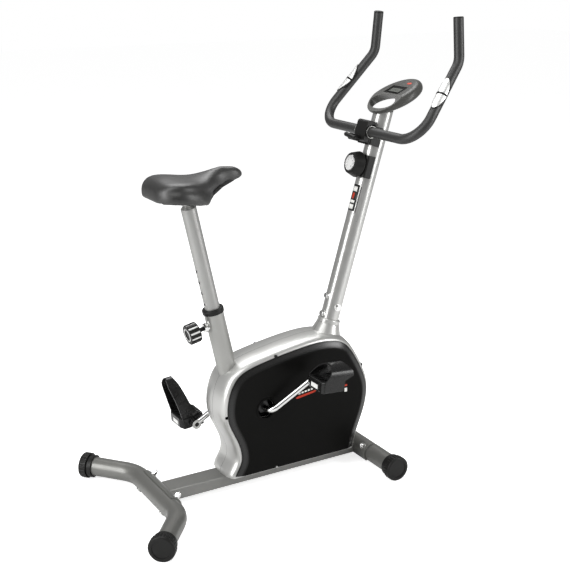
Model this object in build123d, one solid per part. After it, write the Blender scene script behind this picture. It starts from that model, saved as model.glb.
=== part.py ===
from build123d import *
import math
import os

# Upright magnetic exercise bike.
# +X is forward (saddle towards handlebar), +Y is the rider's left, +Z is up.
# Millimetres. The origin is on the floor, at the middle of the bounding box.

os.makedirs("parts", exist_ok=True)

# ---------------------------------------------------------------- fits
SHAFT_PLAY = 0.05       # radial play of a shaft that turns or slides in a bore
SHELL_GAP = 0.3         # plastic parts around moving metal
SEAT_PLAY = 0.1         # radial play of a tube that is bolted inside another

# ---------------------------------------------------------------- stabilisers and base
FOOT_TUBE_OD = 50.0
FOOT_TUBE_WALL = 2.0
FOOT_TUBE_Z = 32.5
FOOT_BEND_R = 90.0
CAP_OD = 67.0
CAP_COLLAR_OD = 60.0
CAP_LEN = 35.0
CAP_FLUTES = 28
CAP_COLLAR_LEN = 11.0
CAP_GROOVE_LEN = 3.0
CAP_FACE_T = 4.0
CAP_FACE_R = 5.0
REAR_FOOT_X = -328.5
REAR_CORNER_Y = 131.0
REAR_SWEEP_DEG = 40.0
REAR_FOOT_END_Y = 252.3
FRONT_FOOT_X = 279.0
FRONT_FOOT_END_Y = 202.5

BEAM_W = 60.0
BEAM_H = 30.0
BEAM_WALL = 2.0
BRACKET_T = 4.0
BRACKET_HALF_Y = 86.0
BRACKET_LOW_DEG = -40.0
BRACKET_HIGH_DEG = 88.0
FOOT_BOLT_Y = 71.0
FOOT_BOLT_DEG = 40.0
FOOT_BOLT_D = 8.0
FOOT_BOLT_HEAD_D = 15.0
FOOT_BOLT_HEAD_H = 3.0
FOOT_WASHER_D = 18.0
FOOT_WASHER_T = 1.6
FOOT_NUT_AF = 13.0
FOOT_NUT_H = 6.5
FOOT_NUT_DOME_H = 7.0

# ---------------------------------------------------------------- seat tube, post and saddle
SEAT_X0 = -48.6         # where the seat axis meets the floor plane
SEAT_LEAN_DEG = 12.6
SEAT_TUBE_OD = 50.0
SEAT_TUBE_WALL = 2.0
SEAT_TUBE_TOP_Z = 492.5
SEAT_POST_OD = 38.0
SEAT_POST_WALL = 2.0
SEAT_POST_LOW_Z = 372.0
SEAT_POST_TOP_Z = 762.0
SEAT_HOLE_PITCH = 30.0
SEAT_HOLE_COUNT = 8
SEAT_HOLE_D = 8.5
SEAT_NECK_OD = 22.2
SEAT_NECK_LEN = 24.0
SEAT_TAPER_LEN = 9.0
COLLAR_OD = 55.0
COLLAR_LIP_H = 10.0
COLLAR_SKIRT_H = 2.0
COLLAR_SLEEVE_LEN = 22.0

KNOB_AXIS_Z = 459.0     # height where the pin axis crosses the seat axis
KNOB_BOSS_D = 20.0
KNOB_BOSS_LEN = 11.0
KNOB_PIN_D = 8.0
KNOB_STEM_D = 11.0
KNOB_STEM_LEN = 18.0
KNOB_D = 52.0
KNOB_LEN = 29.0
KNOB_FLUTES = 10
KNOB_FLUTE_R = 5.0

CLAMP_OD = 34.0
CLAMP_H = 21.0
SADDLE_NOSE_X = -73.0
SADDLE_TAIL_X = -321.0
SADDLE_HALF_W = 90.0
SADDLE_TOP_Z = 842.0
SADDLE_SKIRT_Z = 785.0
SADDLE_PAN_RECESS = 1.5
SADDLE_PAN_H = 10.0
SADDLE_WELL_D = 82.0

# ---------------------------------------------------------------- front post and mast
MAST_X0 = 63.1          # where the mast axis meets the floor plane
MAST_LEAN_DEG = 16.45
MAST_OD = 50.0
MAST_WALL = 1.5
MAST_LOW_Z = 404.0
MAST_TOP_Z = 952.0      # the mast is cut off level
STUB_WALL = 2.0
STUB_TOP_Z = 520.0
MAST_BOLT_D = 8.0
MAST_BOLT_HEAD_D = 13.0
MAST_BOLT_HEAD_H = 5.0
MAST_WASHER_D = 19.0
MAST_WASHER_T = 1.6
MAST_REAR_BOLT_Z = (472.0, 425.0)
MAST_SIDE_BOLT_Z = 449.0
RING_OD = 61.0
RING_H = 12.0

# ---------------------------------------------------------------- crank and pedals
CRANK_X = -44.0
CRANK_Z = 227.5
CRANK_DEG = 33.0        # rest angle of the right arm above straight ahead
CRANK_ARM = 145.0
CRANK_BAR_D = 16.0
CRANK_BEND_R = 22.0
CRANK_AXLE_HALF = 86.0
CRANK_EYE_Y = 104.0
CRANK_EYE_D = 26.0
CRANK_EYE_T = 16.0
BB_SHELL_OD = 60.0
BB_SHELL_HALF = 34.0
BB_SHELL_WALL = 3.0
BB_CUP_T = 7.0
BB_CUP_BORE = 27.0
CONE_OD = 26.9
CONE_LEN = 16.0
LOCKNUT_OD = 34.0
LOCKNUT_T = 5.0
SPINDLE_D = 14.0
SPINDLE_TIP_D = 12.0
PEDAL_LEN_X = 69.0
PEDAL_W_Y = 78.0
PEDAL_H = 29.0
PEDAL_CORNER = 6.0
PEDAL_GAP_Y = 3.0
PEDAL_WALL = 4.0
PEDAL_RIB_COUNT = 5
STRAP_T = 3.0
STRAP_INSET_Y = 5.0
STRAP_RIGHT_H = 36.0     # height of the arch over the pedal's top
STRAP_LEFT_H = 111.0
PEDAL_RIGHT_PITCH_DEG = 4.0
PEDAL_LEFT_PITCH_DEG = -5.0
REFLECTOR_W = 30.0
REFLECTOR_H = 11.0
REFLECTOR_T = 3.0

# ---------------------------------------------------------------- drive inside the housing
FLY_Z = 195.0
FLY_OD = 228.0
FLY_T = 16.0
FLY_RIM = 26.0
FLY_WEB_T = 6.0
FLY_Y = -41.0
AXLE_D = 12.0
BARREL_OD = 34.0
BARREL_HALF = 27.0
BARREL_BORE = 28.0
BEARING_T = 8.0
DRIVE_PULLEY_R = 88.0
DRIVEN_PULLEY_R = 18.0
PULLEY_T = 12.0
PULLEY_Y = 43.0
BELT_T = 3.0
BELT_W = 10.0
MAGNET_GAP = 4.0
MAGNET_ARM_T = 8.0
MAGNET_ARM_W = 20.0
MAGNET_PIN_D = 10.0
MAGNET_PIN_DEG = 72.0
MAGNET_END_DEG = 0.0
MAGNET_HUB_D = 20.0

# ---------------------------------------------------------------- housing and covers
SHELL_HALF = 56.0
SHELL_WALL = 2.5
SHELL_BASE_Z = 48.0
COVER_T = 9.0
COVER_INSET = 15.0
COVER_BEVEL = 19.0
COVER_LOW_Z = 54.0
HUB_HOLE_D = 50.0
COVER_SCREW_D = 8.5
COVER_SCREW_LEN = 9.0
SCREW_PROUD = 1.5
RIM_SCREW_SETBACK = 9.0

# ---------------------------------------------------------------- handlebar
BAR_X = 290.0
BAR_Z = 906.0
BAR_HALF_Y = 221.6
BAR_BEND_X = 439.9
BAR_BEND_Z = 1087.8
BAR_BEND_Y = 179.5
BAR_END_X = 441.1
BAR_END_Z = 1191.9
BAR_END_Y = 167.5
BAR_TUBE_OD = 22.2
BAR_TUBE_WALL = 1.6
SLEEVE_OD = 25.6
BAR_LOW_BEND_R = 62.0
BAR_HIGH_BEND_R = 46.0
PLUG_T = 3.5
PULSE_PLACE = 0.575     # place of the pulse plates along the arm, from the lower corner
PULSE_HALF_LEN = 43.0
PULSE_HALF_W = 14.2
PULSE_RIM = 2.5
PULSE_TURN_OUT = 0.5      # sideways share of the way the plates face
PULSE_SPLIT = 5.0
PULSE_HOLDER_OD = 29.0
PULSE_PLATE_OD = 30.5
PULSE_PLATE_T = 1.5

BAR_CLAMP_W = 46.0
SADDLE_WRAP_W = 54.0
CLAMP_CAP_OUT = 16.0
CLAMP_CAP_TOP = 28.0
CLAMP_CAP_LOW = 28.0
CLAMP_CAP_SEAM = 0.5
CLAMP_BOLT_DROP = 22.0
CLAMP_BOLT_D = 8.0
T_KNOB_LEN = 48.0
T_KNOB_D = 12.0
T_HUB_D = 17.0
T_KNOB_OUT = 43.0

# ---------------------------------------------------------------- tension knob
TENSION_Z = 810.5       # height where the knob axis crosses the mast axis
TENSION_BASE_H = 58.0
TENSION_BASE_W = 56.0
TENSION_BASE_T = 8.0
TENSION_D_FRONT = 54.0
TENSION_D_BACK = 70.0
TENSION_LEN = 25.0
TENSION_RIBS = 24
DIAL_D = 48.0
DIAL_T = 1.5

# ---------------------------------------------------------------- console
CONSOLE_X = 373.7
CONSOLE_Z = 1002.5
CONSOLE_TILT_DEG = 24.0
CONSOLE_HALF_U = 65.5
CONSOLE_HALF_V = 79.5
CONSOLE_T = 27.0
CONSOLE_SPLIT = 17.5
CONSOLE_WALL = 2.5
HOLE_HALF_U = 50.0
HOLE_RIDER_V = -66.0
LCD_W = 63.0
LCD_H = 37.0
LCD_V = 8.5
LCD_RECESS = 3.0
LCD_T = 2.0
BUTTON_V = 45.0
BUTTON_U = 14.0
BUTTON_A = 9.0
BUTTON_B = 4.5
SOCKET_FLANGE_H = 2.0
SOCKET_PLUG_LEN = 40.0


# ================================================================ shared shapes
def direction(lean_deg):
    """Unit vector in the XZ plane, leaning forward by lean_deg from vertical."""
    a = math.radians(lean_deg)
    return Vector(math.sin(a), 0, math.cos(a))


MAST_DIR = direction(MAST_LEAN_DEG)
SEAT_DIR = direction(-SEAT_LEAN_DEG)


def mast_point(z):
    return Vector(MAST_X0 + math.tan(math.radians(MAST_LEAN_DEG)) * z, 0, z)


def seat_point(z):
    return Vector(SEAT_X0 - math.tan(math.radians(SEAT_LEAN_DEG)) * z, 0, z)


def rod(start, end, diameter):
    """Solid round bar between two points."""
    start, end = Vector(*start), Vector(*end)
    plane = Plane(origin=start, z_dir=end - start)
    return extrude(plane * Circle(diameter / 2), amount=(end - start).length)


def pipe(start, end, outer, inner):
    """Round tube between two points, open at both ends."""
    start, end = Vector(*start), Vector(*end)
    over = (end - start).normalized()
    return rod(start, end, outer) - rod(start - over, end + over, inner)


def bent_rod(points, bend_r, diameter):
    """Round bar along straight runs joined by bends of one radius."""
    path = FilletPolyline(*points, radius=bend_r)
    plane = Plane(origin=path @ 0, z_dir=path % 0)
    return sweep(plane * Circle(diameter / 2), path=path)


def stretched(points, over):
    """The same points with both ends carried on by a short length."""
    first, second = Vector(*points[0]), Vector(*points[1])
    last, before = Vector(*points[-1]), Vector(*points[-2])
    head = first + (first - second).normalized() * over
    tail = last + (last - before).normalized() * over
    return [head] + [Vector(*p) for p in points[1:-1]] + [tail]


def bent_pipe(points, bend_r, outer, wall):
    solid = bent_rod(points, bend_r, outer)
    return solid - bent_rod(stretched(points, 1.0), bend_r, outer - 2 * wall)


def on_y(x, y, z):
    """Plane at a point, with its normal along +Y."""
    return Plane(origin=(x, y, z), x_dir=(1, 0, 0), z_dir=(0, 1, 0))


def disc_y(x, z, y_low, y_high, diameter):
    """Round disc or bar along Y."""
    return rod((x, y_low, z), (x, y_high, z), diameter)


def mirrored(shape):
    return mirror(shape, about=Plane.XZ)


def hexagon(plane, across_flats, height):
    side_r = across_flats / math.sqrt(3)
    return extrude(plane * RegularPolygon(side_r, 6), amount=height)


# ================================================================ stabilisers
def rear_cap_face(side):
    """Middle of the outer face of a rear end cap, and the way it looks."""
    a = math.radians(REAR_SWEEP_DEG)
    out = Vector(-math.sin(a), side * math.cos(a), 0)
    run = (REAR_FOOT_END_Y - REAR_CORNER_Y) / math.cos(a)
    corner = Vector(REAR_FOOT_X, side * REAR_CORNER_Y, FOOT_TUBE_Z)
    return corner + out * run, out


def front_cap_face(side):
    out = Vector(0, side, 0)
    return Vector(FRONT_FOOT_X, side * FRONT_FOOT_END_Y, FOOT_TUBE_Z), out


def foot_bolt_places():
    """Each stabiliser bolt: the tube axis point, and the way its nut faces."""
    a = math.radians(FOOT_BOLT_DEG)
    places = []
    for foot_x, towards in ((REAR_FOOT_X, 1), (FRONT_FOOT_X, -1)):
        out = Vector(towards * math.cos(a), 0, math.sin(a))
        for side in (-1, 1):
            places.append((Vector(foot_x, side * FOOT_BOLT_Y, FOOT_TUBE_Z), out))
    return places


def foot_bolt_holes():
    holes = []
    for centre, out in foot_bolt_places():
        reach = FOOT_TUBE_OD
        holes.append(rod(centre - out * reach, centre + out * reach, FOOT_BOLT_D + 2 * SEAT_PLAY))
    return holes


def rear_stabilizer():
    points = []
    for side in (-1, 1):
        face, out = rear_cap_face(side)
        end = face - out * CAP_FACE_T
        corner = (REAR_FOOT_X, side * REAR_CORNER_Y, FOOT_TUBE_Z)
        points += [end, corner] if side < 0 else [corner, end]
    tube = bent_pipe(points, FOOT_BEND_R, FOOT_TUBE_OD, FOOT_TUBE_WALL)
    for hole in foot_bolt_holes():
        tube -= hole
    return tube


def front_stabilizer():
    half = FRONT_FOOT_END_Y - CAP_FACE_T
    ends = [(FRONT_FOOT_X, side * half, FOOT_TUBE_Z) for side in (-1, 1)]
    tube = pipe(ends[0], ends[1], FOOT_TUBE_OD, FOOT_TUBE_OD - 2 * FOOT_TUBE_WALL)
    for hole in foot_bolt_holes():
        tube -= hole
    return tube


def end_cap(face, out):
    """Ribbed plastic cap: a wheel-like drum, a groove and a collar, with a flat under it."""
    inner = face - out * CAP_LEN
    drum_start = inner + out * (CAP_COLLAR_LEN + CAP_GROOVE_LEN)
    drum = rod(drum_start, face, CAP_OD)
    rims = drum.edges().filter_by(GeomType.CIRCLE).sort_by(Axis(tuple(inner), tuple(out)))
    drum = fillet(rims[-1], CAP_FACE_R)
    collar = rod(inner, inner + out * CAP_COLLAR_LEN, CAP_COLLAR_OD)
    neck = rod(inner, face - out * CAP_FACE_T, FOOT_TUBE_OD + 5)
    dish = rod(face - out * 1.5, face + out, CAP_OD - 20)
    cap = drum + collar + neck - dish
    cap -= rod(inner - out, face - out * CAP_FACE_T, FOOT_TUBE_OD)
    side_dir = out.cross(Vector(0, 0, 1))
    for step in range(CAP_FLUTES):
        a = 2 * math.pi * step / CAP_FLUTES
        rim = side_dir * math.cos(a) + Vector(0, 0, 1) * math.sin(a)
        centre = face + rim * (CAP_OD / 2 + 1.2)
        if rim.Z > -0.9:
            cap -= rod(centre - out * (CAP_LEN - CAP_COLLAR_LEN - CAP_GROOVE_LEN + 1), centre - out * 5, 5.0)
    floor_cut = Pos(face.X, face.Y, -50) * Box(400, 400, 100)
    return cap - floor_cut


def stabilizer_bolts():
    bolts = []
    half = FOOT_TUBE_OD / 2
    for centre, out in foot_bolt_places():
        under = centre - out * (half - 0.6)
        head = rod(under - out * FOOT_BOLT_HEAD_H, under, FOOT_BOLT_HEAD_D)
        head = fillet(head.edges().filter_by(GeomType.CIRCLE).sort_by(Axis(tuple(centre), tuple(out)))[0], 2.0)
        tip = centre + out * (half + BRACKET_T + FOOT_WASHER_T + FOOT_NUT_H)
        shank = rod(under - out, tip, FOOT_BOLT_D)
        tube = rod(centre - Vector(0, 30, 0), centre + Vector(0, 30, 0), FOOT_TUBE_OD)
        bolts.append((head - tube) + shank)
    return Compound(children=bolts)


def stabilizer_nuts():
    """Domed nuts on washers, with the bolt shank's hole in them."""
    nuts = []
    for centre, out in foot_bolt_places():
        seat = centre + out * (FOOT_TUBE_OD / 2 + BRACKET_T)
        plane = Plane(origin=seat + out * FOOT_WASHER_T, z_dir=out)
        washer = rod(seat - out * 2.2, seat + out * FOOT_WASHER_T, FOOT_WASHER_D)
        plate = rod(centre - Vector(0, 30, 0), centre + Vector(0, 30, 0), FOOT_TUBE_OD + 2 * BRACKET_T)
        nut = hexagon(plane, FOOT_NUT_AF, FOOT_NUT_H)
        dome_base = seat + out * (FOOT_WASHER_T + FOOT_NUT_H)
        dome = Pos(*dome_base) * Sphere(FOOT_NUT_AF / 2 - 0.4)
        dome = dome & rod(dome_base - out, dome_base + out * FOOT_NUT_DOME_H, FOOT_NUT_AF)
        solid = (washer - plate) + nut + dome
        tip = dome_base + out * 0.4
        nuts.append(solid - rod(centre, tip, FOOT_BOLT_D))
    return Compound(children=nuts)


def foot_bracket(foot_x, towards):
    """Curved plate that cradles a stabiliser tube and is welded to the beam's end."""
    ring = disc_y(foot_x, FOOT_TUBE_Z, -BRACKET_HALF_Y, BRACKET_HALF_Y, FOOT_TUBE_OD + 2 * BRACKET_T)
    ring -= disc_y(foot_x, FOOT_TUBE_Z, -BRACKET_HALF_Y - 1, BRACKET_HALF_Y + 1, FOOT_TUBE_OD)
    reach = FOOT_TUBE_OD * 2
    low = math.radians(BRACKET_LOW_DEG)
    high = math.radians(BRACKET_HIGH_DEG)
    corners = [(0, 0)]
    for step in range(5):
        a = low + (high - low) * step / 4
        corners.append((towards * reach * math.cos(a), reach * math.sin(a)))
    outline = [(foot_x + x, -BRACKET_HALF_Y, FOOT_TUBE_Z + z) for x, z in corners]
    face = make_face(Polyline(*outline, close=True))
    wedge = extrude(face, amount=2 * BRACKET_HALF_Y, dir=(0, 1, 0))
    plate = ring & wedge
    for hole in foot_bolt_holes():
        plate -= hole
    return plate


# ================================================================ base frame
def base_beam():
    """Flat rectangular tube between the two cradle plates."""
    out = FOOT_TUBE_OD / 2 + BRACKET_T
    half = math.sqrt(out ** 2 - (BEAM_H / 2) ** 2)
    x_low = REAR_FOOT_X + half
    x_high = FRONT_FOOT_X - half
    middle = Pos((x_low + x_high) / 2, 0, FOOT_TUBE_Z)
    length = x_high - x_low + 2 * (out - half)
    beam = middle * Box(length, BEAM_W, BEAM_H)
    beam = fillet(beam.edges().filter_by(Axis.X), 3.0)
    beam -= middle * Box(length + 2, BEAM_W - 2 * BEAM_WALL, BEAM_H - 2 * BEAM_WALL)
    for foot_x in (REAR_FOOT_X, FRONT_FOOT_X):
        beam -= disc_y(foot_x, FOOT_TUBE_Z, -BEAM_W, BEAM_W, 2 * out)
    return beam


def bb_shell_outer(extra=0.0):
    return disc_y(CRANK_X, CRANK_Z, -BB_SHELL_HALF, BB_SHELL_HALF, BB_SHELL_OD + 2 * extra)


def above_beam(shape):
    """Keep what stands on the beam's top face."""
    top = FOOT_TUBE_Z + BEAM_H / 2
    return shape - Pos(0, 0, top - 100) * Box(900, 300, 200)


def knob_frame():
    """Pin axis of the saddle knob: its crossing with the seat axis, and its outward way."""
    return seat_point(KNOB_AXIS_Z), Vector(-math.cos(math.radians(SEAT_LEAN_DEG)), 0,
                                           -math.sin(math.radians(SEAT_LEAN_DEG)))


def seat_tube():
    tube = pipe(seat_point(10), seat_point(SEAT_TUBE_TOP_Z), SEAT_TUBE_OD, SEAT_TUBE_OD - 2 * SEAT_TUBE_WALL)
    cross, out = knob_frame()
    tube -= rod(cross, cross + out * SEAT_TUBE_OD, KNOB_PIN_D + 3.0)
    return above_beam(tube) - bb_shell_outer()


def bb_shell():
    shell = bb_shell_outer()
    return shell - disc_y(CRANK_X, CRANK_Z, -50, 50, BB_SHELL_OD - 2 * BB_SHELL_WALL)


def stub_od():
    return MAST_OD - 2 * MAST_WALL - 2 * SEAT_PLAY


def fly_x():
    return mast_point(FLY_Z).X


def magnet_pin_place():
    """Where the magnet bracket's pin crosses the side of the front post."""
    r = FLY_OD / 2 + MAGNET_GAP + MAGNET_ARM_T + 2
    a = math.radians(MAGNET_PIN_DEG)
    return fly_x() + r * math.cos(a), FLY_Z + r * math.sin(a)


def front_stub():
    stub = pipe(mast_point(10), mast_point(STUB_TOP_Z), stub_od(), stub_od() - 2 * STUB_WALL)
    stub = above_beam(stub)
    stub -= disc_y(fly_x(), FLY_Z, -BARREL_HALF, BARREL_HALF, BARREL_OD)
    for start, end in mast_bolt_axes():
        stub -= rod(start, end, MAST_BOLT_D + 2 * SEAT_PLAY)
    return stub


def magnet_pin():
    """Pin welded through the front post; the magnet bracket swings on it."""
    x, z = magnet_pin_place()
    shaft = disc_y(x, z, FLY_Y - MAGNET_ARM_W / 2 - 2, -10, MAGNET_PIN_D)
    inner = rod(mast_point(z - 80), mast_point(z + 80), stub_od())
    return shaft - inner


def axle_barrel():
    barrel = disc_y(fly_x(), FLY_Z, -BARREL_HALF, BARREL_HALF, BARREL_OD)
    return barrel - disc_y(fly_x(), FLY_Z, -50, 50, BARREL_BORE)


def axle_bearings():
    rings = []
    for side in (-1, 1):
        y_out = side * BARREL_HALF
        y_in = side * (BARREL_HALF - BEARING_T)
        ring = disc_y(fly_x(), FLY_Z, min(y_out, y_in), max(y_out, y_in), BARREL_BORE)
        ring -= disc_y(fly_x(), FLY_Z, -60, 60, AXLE_D + 2 * SHAFT_PLAY)
        rings.append(ring)
    return Compound(children=rings)


# ================================================================ mast
def mast_bolt_axes():
    """Start and end of each mast bolt's shank, from outside to the post's middle."""
    back = Vector(-math.cos(math.radians(MAST_LEAN_DEG)), 0, math.sin(math.radians(MAST_LEAN_DEG)))
    axes = []
    for z in MAST_REAR_BOLT_Z:
        middle = mast_point(z)
        axes.append((middle + back * (MAST_OD / 2 + 1), middle + back * (MAST_OD / 2 - 12)))
    middle = mast_point(MAST_SIDE_BOLT_Z)
    side = Vector(0, -1, 0)
    axes.append((middle + side * (MAST_OD / 2 + 1), middle + side * (MAST_OD / 2 - 12)))
    return axes


def below_mast_top(shape):
    """Cut a mast-wide shape off level at the mast's top."""
    return shape - Pos(mast_point(MAST_TOP_Z).X, 0, MAST_TOP_Z + 50) * Box(200, 200, 100)


def mast():
    over = mast_point(MAST_TOP_Z + 20)
    tube = below_mast_top(pipe(mast_point(MAST_LOW_Z), over, MAST_OD, MAST_OD - 2 * MAST_WALL))
    for start, end in mast_bolt_axes():
        tube -= rod(start + (start - end), end, MAST_BOLT_D + 2 * SEAT_PLAY)
    return tube


def mast_bolts():
    """Hex bolts with curved washers that hold the mast on the post."""
    bolts = []
    for start, end in mast_bolt_axes():
        out = (start - end).normalized()
        skin = start - out
        core = rod(mast_point(300), mast_point(600), MAST_OD)
        washer = rod(skin - out * 5, skin + out * MAST_WASHER_T, MAST_WASHER_D) - core
        head_plane = Plane(origin=skin + out * MAST_WASHER_T, z_dir=out)
        head = hexagon(head_plane, MAST_BOLT_HEAD_D, MAST_BOLT_HEAD_H)
        head &= rod(skin, skin + out * 20, MAST_BOLT_HEAD_D * 1.09)
        shank = rod(end, skin + out * (MAST_WASHER_T + 1), MAST_BOLT_D)
        bolts.append(washer + head + shank)
    return Compound(children=bolts)


def mast_foot_ring():
    """Plastic ring that finishes the foot of the mast on the housing."""
    low = mast_point(MAST_LOW_Z)
    ring = rod(low, low + MAST_DIR * RING_H, RING_OD)
    top_edge = ring.edges().filter_by(GeomType.CIRCLE).sort_by(Axis(tuple(low), tuple(MAST_DIR)))[-1]
    ring = fillet(top_edge, 4.0)
    return ring - rod(low - MAST_DIR, low + MAST_DIR * 20, MAST_OD)


# ================================================================ housing
def housing_outline():
    """Side outline of the housing at its middle seam, foot first, clockwise from the rear."""
    return [
        (-146, 40), (-143, 66), (-131, 88), (-128, 108), (-132, 128), (-148, 166), (-162, 200),
        (-167, 234), (-164, 268), (-152, 306), (-128, 338), (-90, 357), (-40, 369), (20, 380),
        (80, 388), (150, 389), (204, 372), (242, 328), (268, 280), (283, 236), (284, 196),
        (272, 144), (256, 102), (245, 66), (240, 40),
    ]


def inward(points, distance):
    """Outline moved inwards along its own normals; the foot keeps its height."""
    moved = []
    count = len(points)
    for i, (x, z) in enumerate(points):
        before = points[max(i - 1, 0)]
        after = points[min(i + 1, count - 1)]
        tx, tz = after[0] - before[0], after[1] - before[1]
        length = math.hypot(tx, tz)
        moved.append((x + distance * tz / length, z - distance * tx / length))
    return moved


def outline_face(distance, y, low_z=None):
    """Face of the housing outline moved inwards, in the plane at y."""
    points = inward(housing_outline(), distance)
    foot = 30.0
    first, last = points[0], points[-1]
    points = [(first[0], foot)] + points[1:-1] + [(last[0], foot)]
    curve = Spline(*[(x, y, z) for x, z in points])
    base = Line((points[-1][0], y, foot), (points[0][0], y, foot))
    return make_face(curve + base)


def housing_block(shrink):
    """One half of the housing's outer form, on the left of the seam, less shrink all round."""
    half = SHELL_HALF - shrink
    steps = [(0.0, 0.0), (0.45, 1.0), (0.75, 4.0), (0.93, 9.0), (1.0, 14.0)]
    faces = [outline_face(inset + shrink, half * part) for part, inset in steps]
    return loft(faces)


def mast_cone(shrink):
    """Raised collar of the housing around the mast's foot."""
    low, high = mast_point(345.0), mast_point(MAST_LOW_Z - 0.5)
    plane_low = Plane(origin=low, z_dir=MAST_DIR)
    plane_high = Plane(origin=high, z_dir=MAST_DIR)
    return loft([plane_low * Circle(52 - shrink), plane_high * Circle(RING_OD / 2 - shrink)])


def left_side(shape, y_low=0.0):
    return shape & (Pos(0, y_low + 100, 250) * Box(900, 200, 900))


def housing_screw_places():
    """Where the screws sit along the covers' rim: x, z and how far out their heads reach."""
    on_flank = SHELL_HALF + SCREW_PROUD
    on_rim = SHELL_HALF - RIM_SCREW_SETBACK
    return [(-11.0, 361.0, on_flank), (-13.0, 57.0, on_flank), (260.0, 283.0, on_rim), (-153.0, 222.0, on_rim)]


def housing_left():
    outer = housing_block(0.0) + left_side(mast_cone(0.0))
    inner = housing_block(SHELL_WALL) + left_side(mast_cone(SHELL_WALL))
    shell = outer - inner
    floor_low = SHELL_BASE_Z
    shell -= Pos(0, 0, floor_low - 50) * Box(900, 300, 100)
    plate = left_side(outer & (Pos(0, 0, floor_low + SHELL_WALL / 2) * Box(900, 300, SHELL_WALL)))
    shell += plate
    post_hole = rod(mast_point(20), mast_point(MAST_LOW_Z + 30), MAST_OD + 2 * SHELL_GAP)
    seat_hole = rod(seat_point(20), seat_point(420), SEAT_TUBE_OD + 2 * SHELL_GAP)
    hub_hole = disc_y(CRANK_X, CRANK_Z, 0, 100, HUB_HOLE_D)
    shell = shell - post_hole - seat_hole - hub_hole
    for x, z, reach in housing_screw_places():
        shell -= disc_y(x, z, 20, 100, COVER_SCREW_D + 2 * SHELL_GAP)
    return shell.solids().sort_by(SortBy.VOLUME)[-1]


def cover_left():
    """Black side cover: a flat field with a broad bevel, standing on the housing's flank."""
    base = outline_face(COVER_INSET, SHELL_HALF)
    front = outline_face(COVER_INSET + COVER_BEVEL, SHELL_HALF + COVER_T)
    rim = extrude(base, amount=2.0, dir=(0, 1, 0))
    lifted = outline_face(COVER_INSET, SHELL_HALF + 2.0)
    field = loft([lifted, front], ruled=True)
    cover = rim + field
    cover -= Pos(0, SHELL_HALF, COVER_LOW_Z - 50) * Box(900, 60, 100)
    for x, z, reach in housing_screw_places():
        cover -= disc_y(x, z, 20, 100, COVER_SCREW_D + 2 * SHELL_GAP)
    hub = disc_y(CRANK_X, CRANK_Z, 0, 100, HUB_HOLE_D)
    ring = disc_y(CRANK_X, CRANK_Z, SHELL_HALF, SHELL_HALF + COVER_T + 1.5, HUB_HOLE_D + 8)
    return cover + ring - hub


def cover_screws():
    """Pan-head screws in the housing's rim, left and right."""
    screws = []
    for x, z, reach in housing_screw_places():
        head = disc_y(x, z, reach - COVER_SCREW_LEN, reach, COVER_SCREW_D)
        screws += [head, mirrored(head)]
    return Compound(children=screws)


# ================================================================ crank, pedals and drive
def crank_eye(side):
    """Centre of an arm's eye: side -1 is the right arm."""
    a = math.radians(CRANK_DEG)
    way = -side
    return Vector(CRANK_X + way * CRANK_ARM * math.cos(a), side * CRANK_EYE_Y,
                  CRANK_Z + way * CRANK_ARM * math.sin(a))


def crank():
    """One forged bar: right arm, axle and left arm, with a flat eye at each end."""
    right, left = crank_eye(-1), crank_eye(1)
    a = Vector(CRANK_X, -CRANK_AXLE_HALF, CRANK_Z)
    b = Vector(CRANK_X, CRANK_AXLE_HALF, CRANK_Z)
    body = bent_rod([right, a, b, left], CRANK_BEND_R, CRANK_BAR_D)
    for eye in (right, left):
        body += disc_y(eye.X, eye.Z, eye.Y - CRANK_EYE_T / 2, eye.Y + CRANK_EYE_T / 2, CRANK_EYE_D)
    for eye in (right, left):
        body -= disc_y(eye.X, eye.Z, eye.Y - 20, eye.Y + 20, SPINDLE_TIP_D + 2 * SHAFT_PLAY)
    return body


def crank_cups():
    """Bearing cups pressed into the shell."""
    cups = []
    for side in (-1, 1):
        y_out = side * (BB_SHELL_HALF + 2)
        y_in = side * (BB_SHELL_HALF - BB_CUP_T)
        cup = disc_y(CRANK_X, CRANK_Z, min(y_in, y_out), max(y_in, y_out), BB_SHELL_OD - 2 * BB_SHELL_WALL)
        cup -= disc_y(CRANK_X, CRANK_Z, -60, 60, BB_CUP_BORE)
        cups.append(cup)
    return Compound(children=cups)


def crank_cones():
    """Cones and lock nuts that turn with the crank."""
    bore = disc_y(CRANK_X, CRANK_Z, -100, 100, CRANK_BAR_D)
    parts = []
    for side in (-1, 1):
        y_in = side * (BB_SHELL_HALF - BB_CUP_T)
        y_out = side * (BB_SHELL_HALF - BB_CUP_T + CONE_LEN)
        cone = disc_y(CRANK_X, CRANK_Z, min(y_in, y_out), max(y_in, y_out), CONE_OD)
        if side < 0:
            nut_plane = on_y(CRANK_X, y_out - LOCKNUT_T, CRANK_Z)
            cone += hexagon(nut_plane, LOCKNUT_OD - 4, LOCKNUT_T)
        parts.append(cone - bore)
    return Compound(children=parts)


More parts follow.
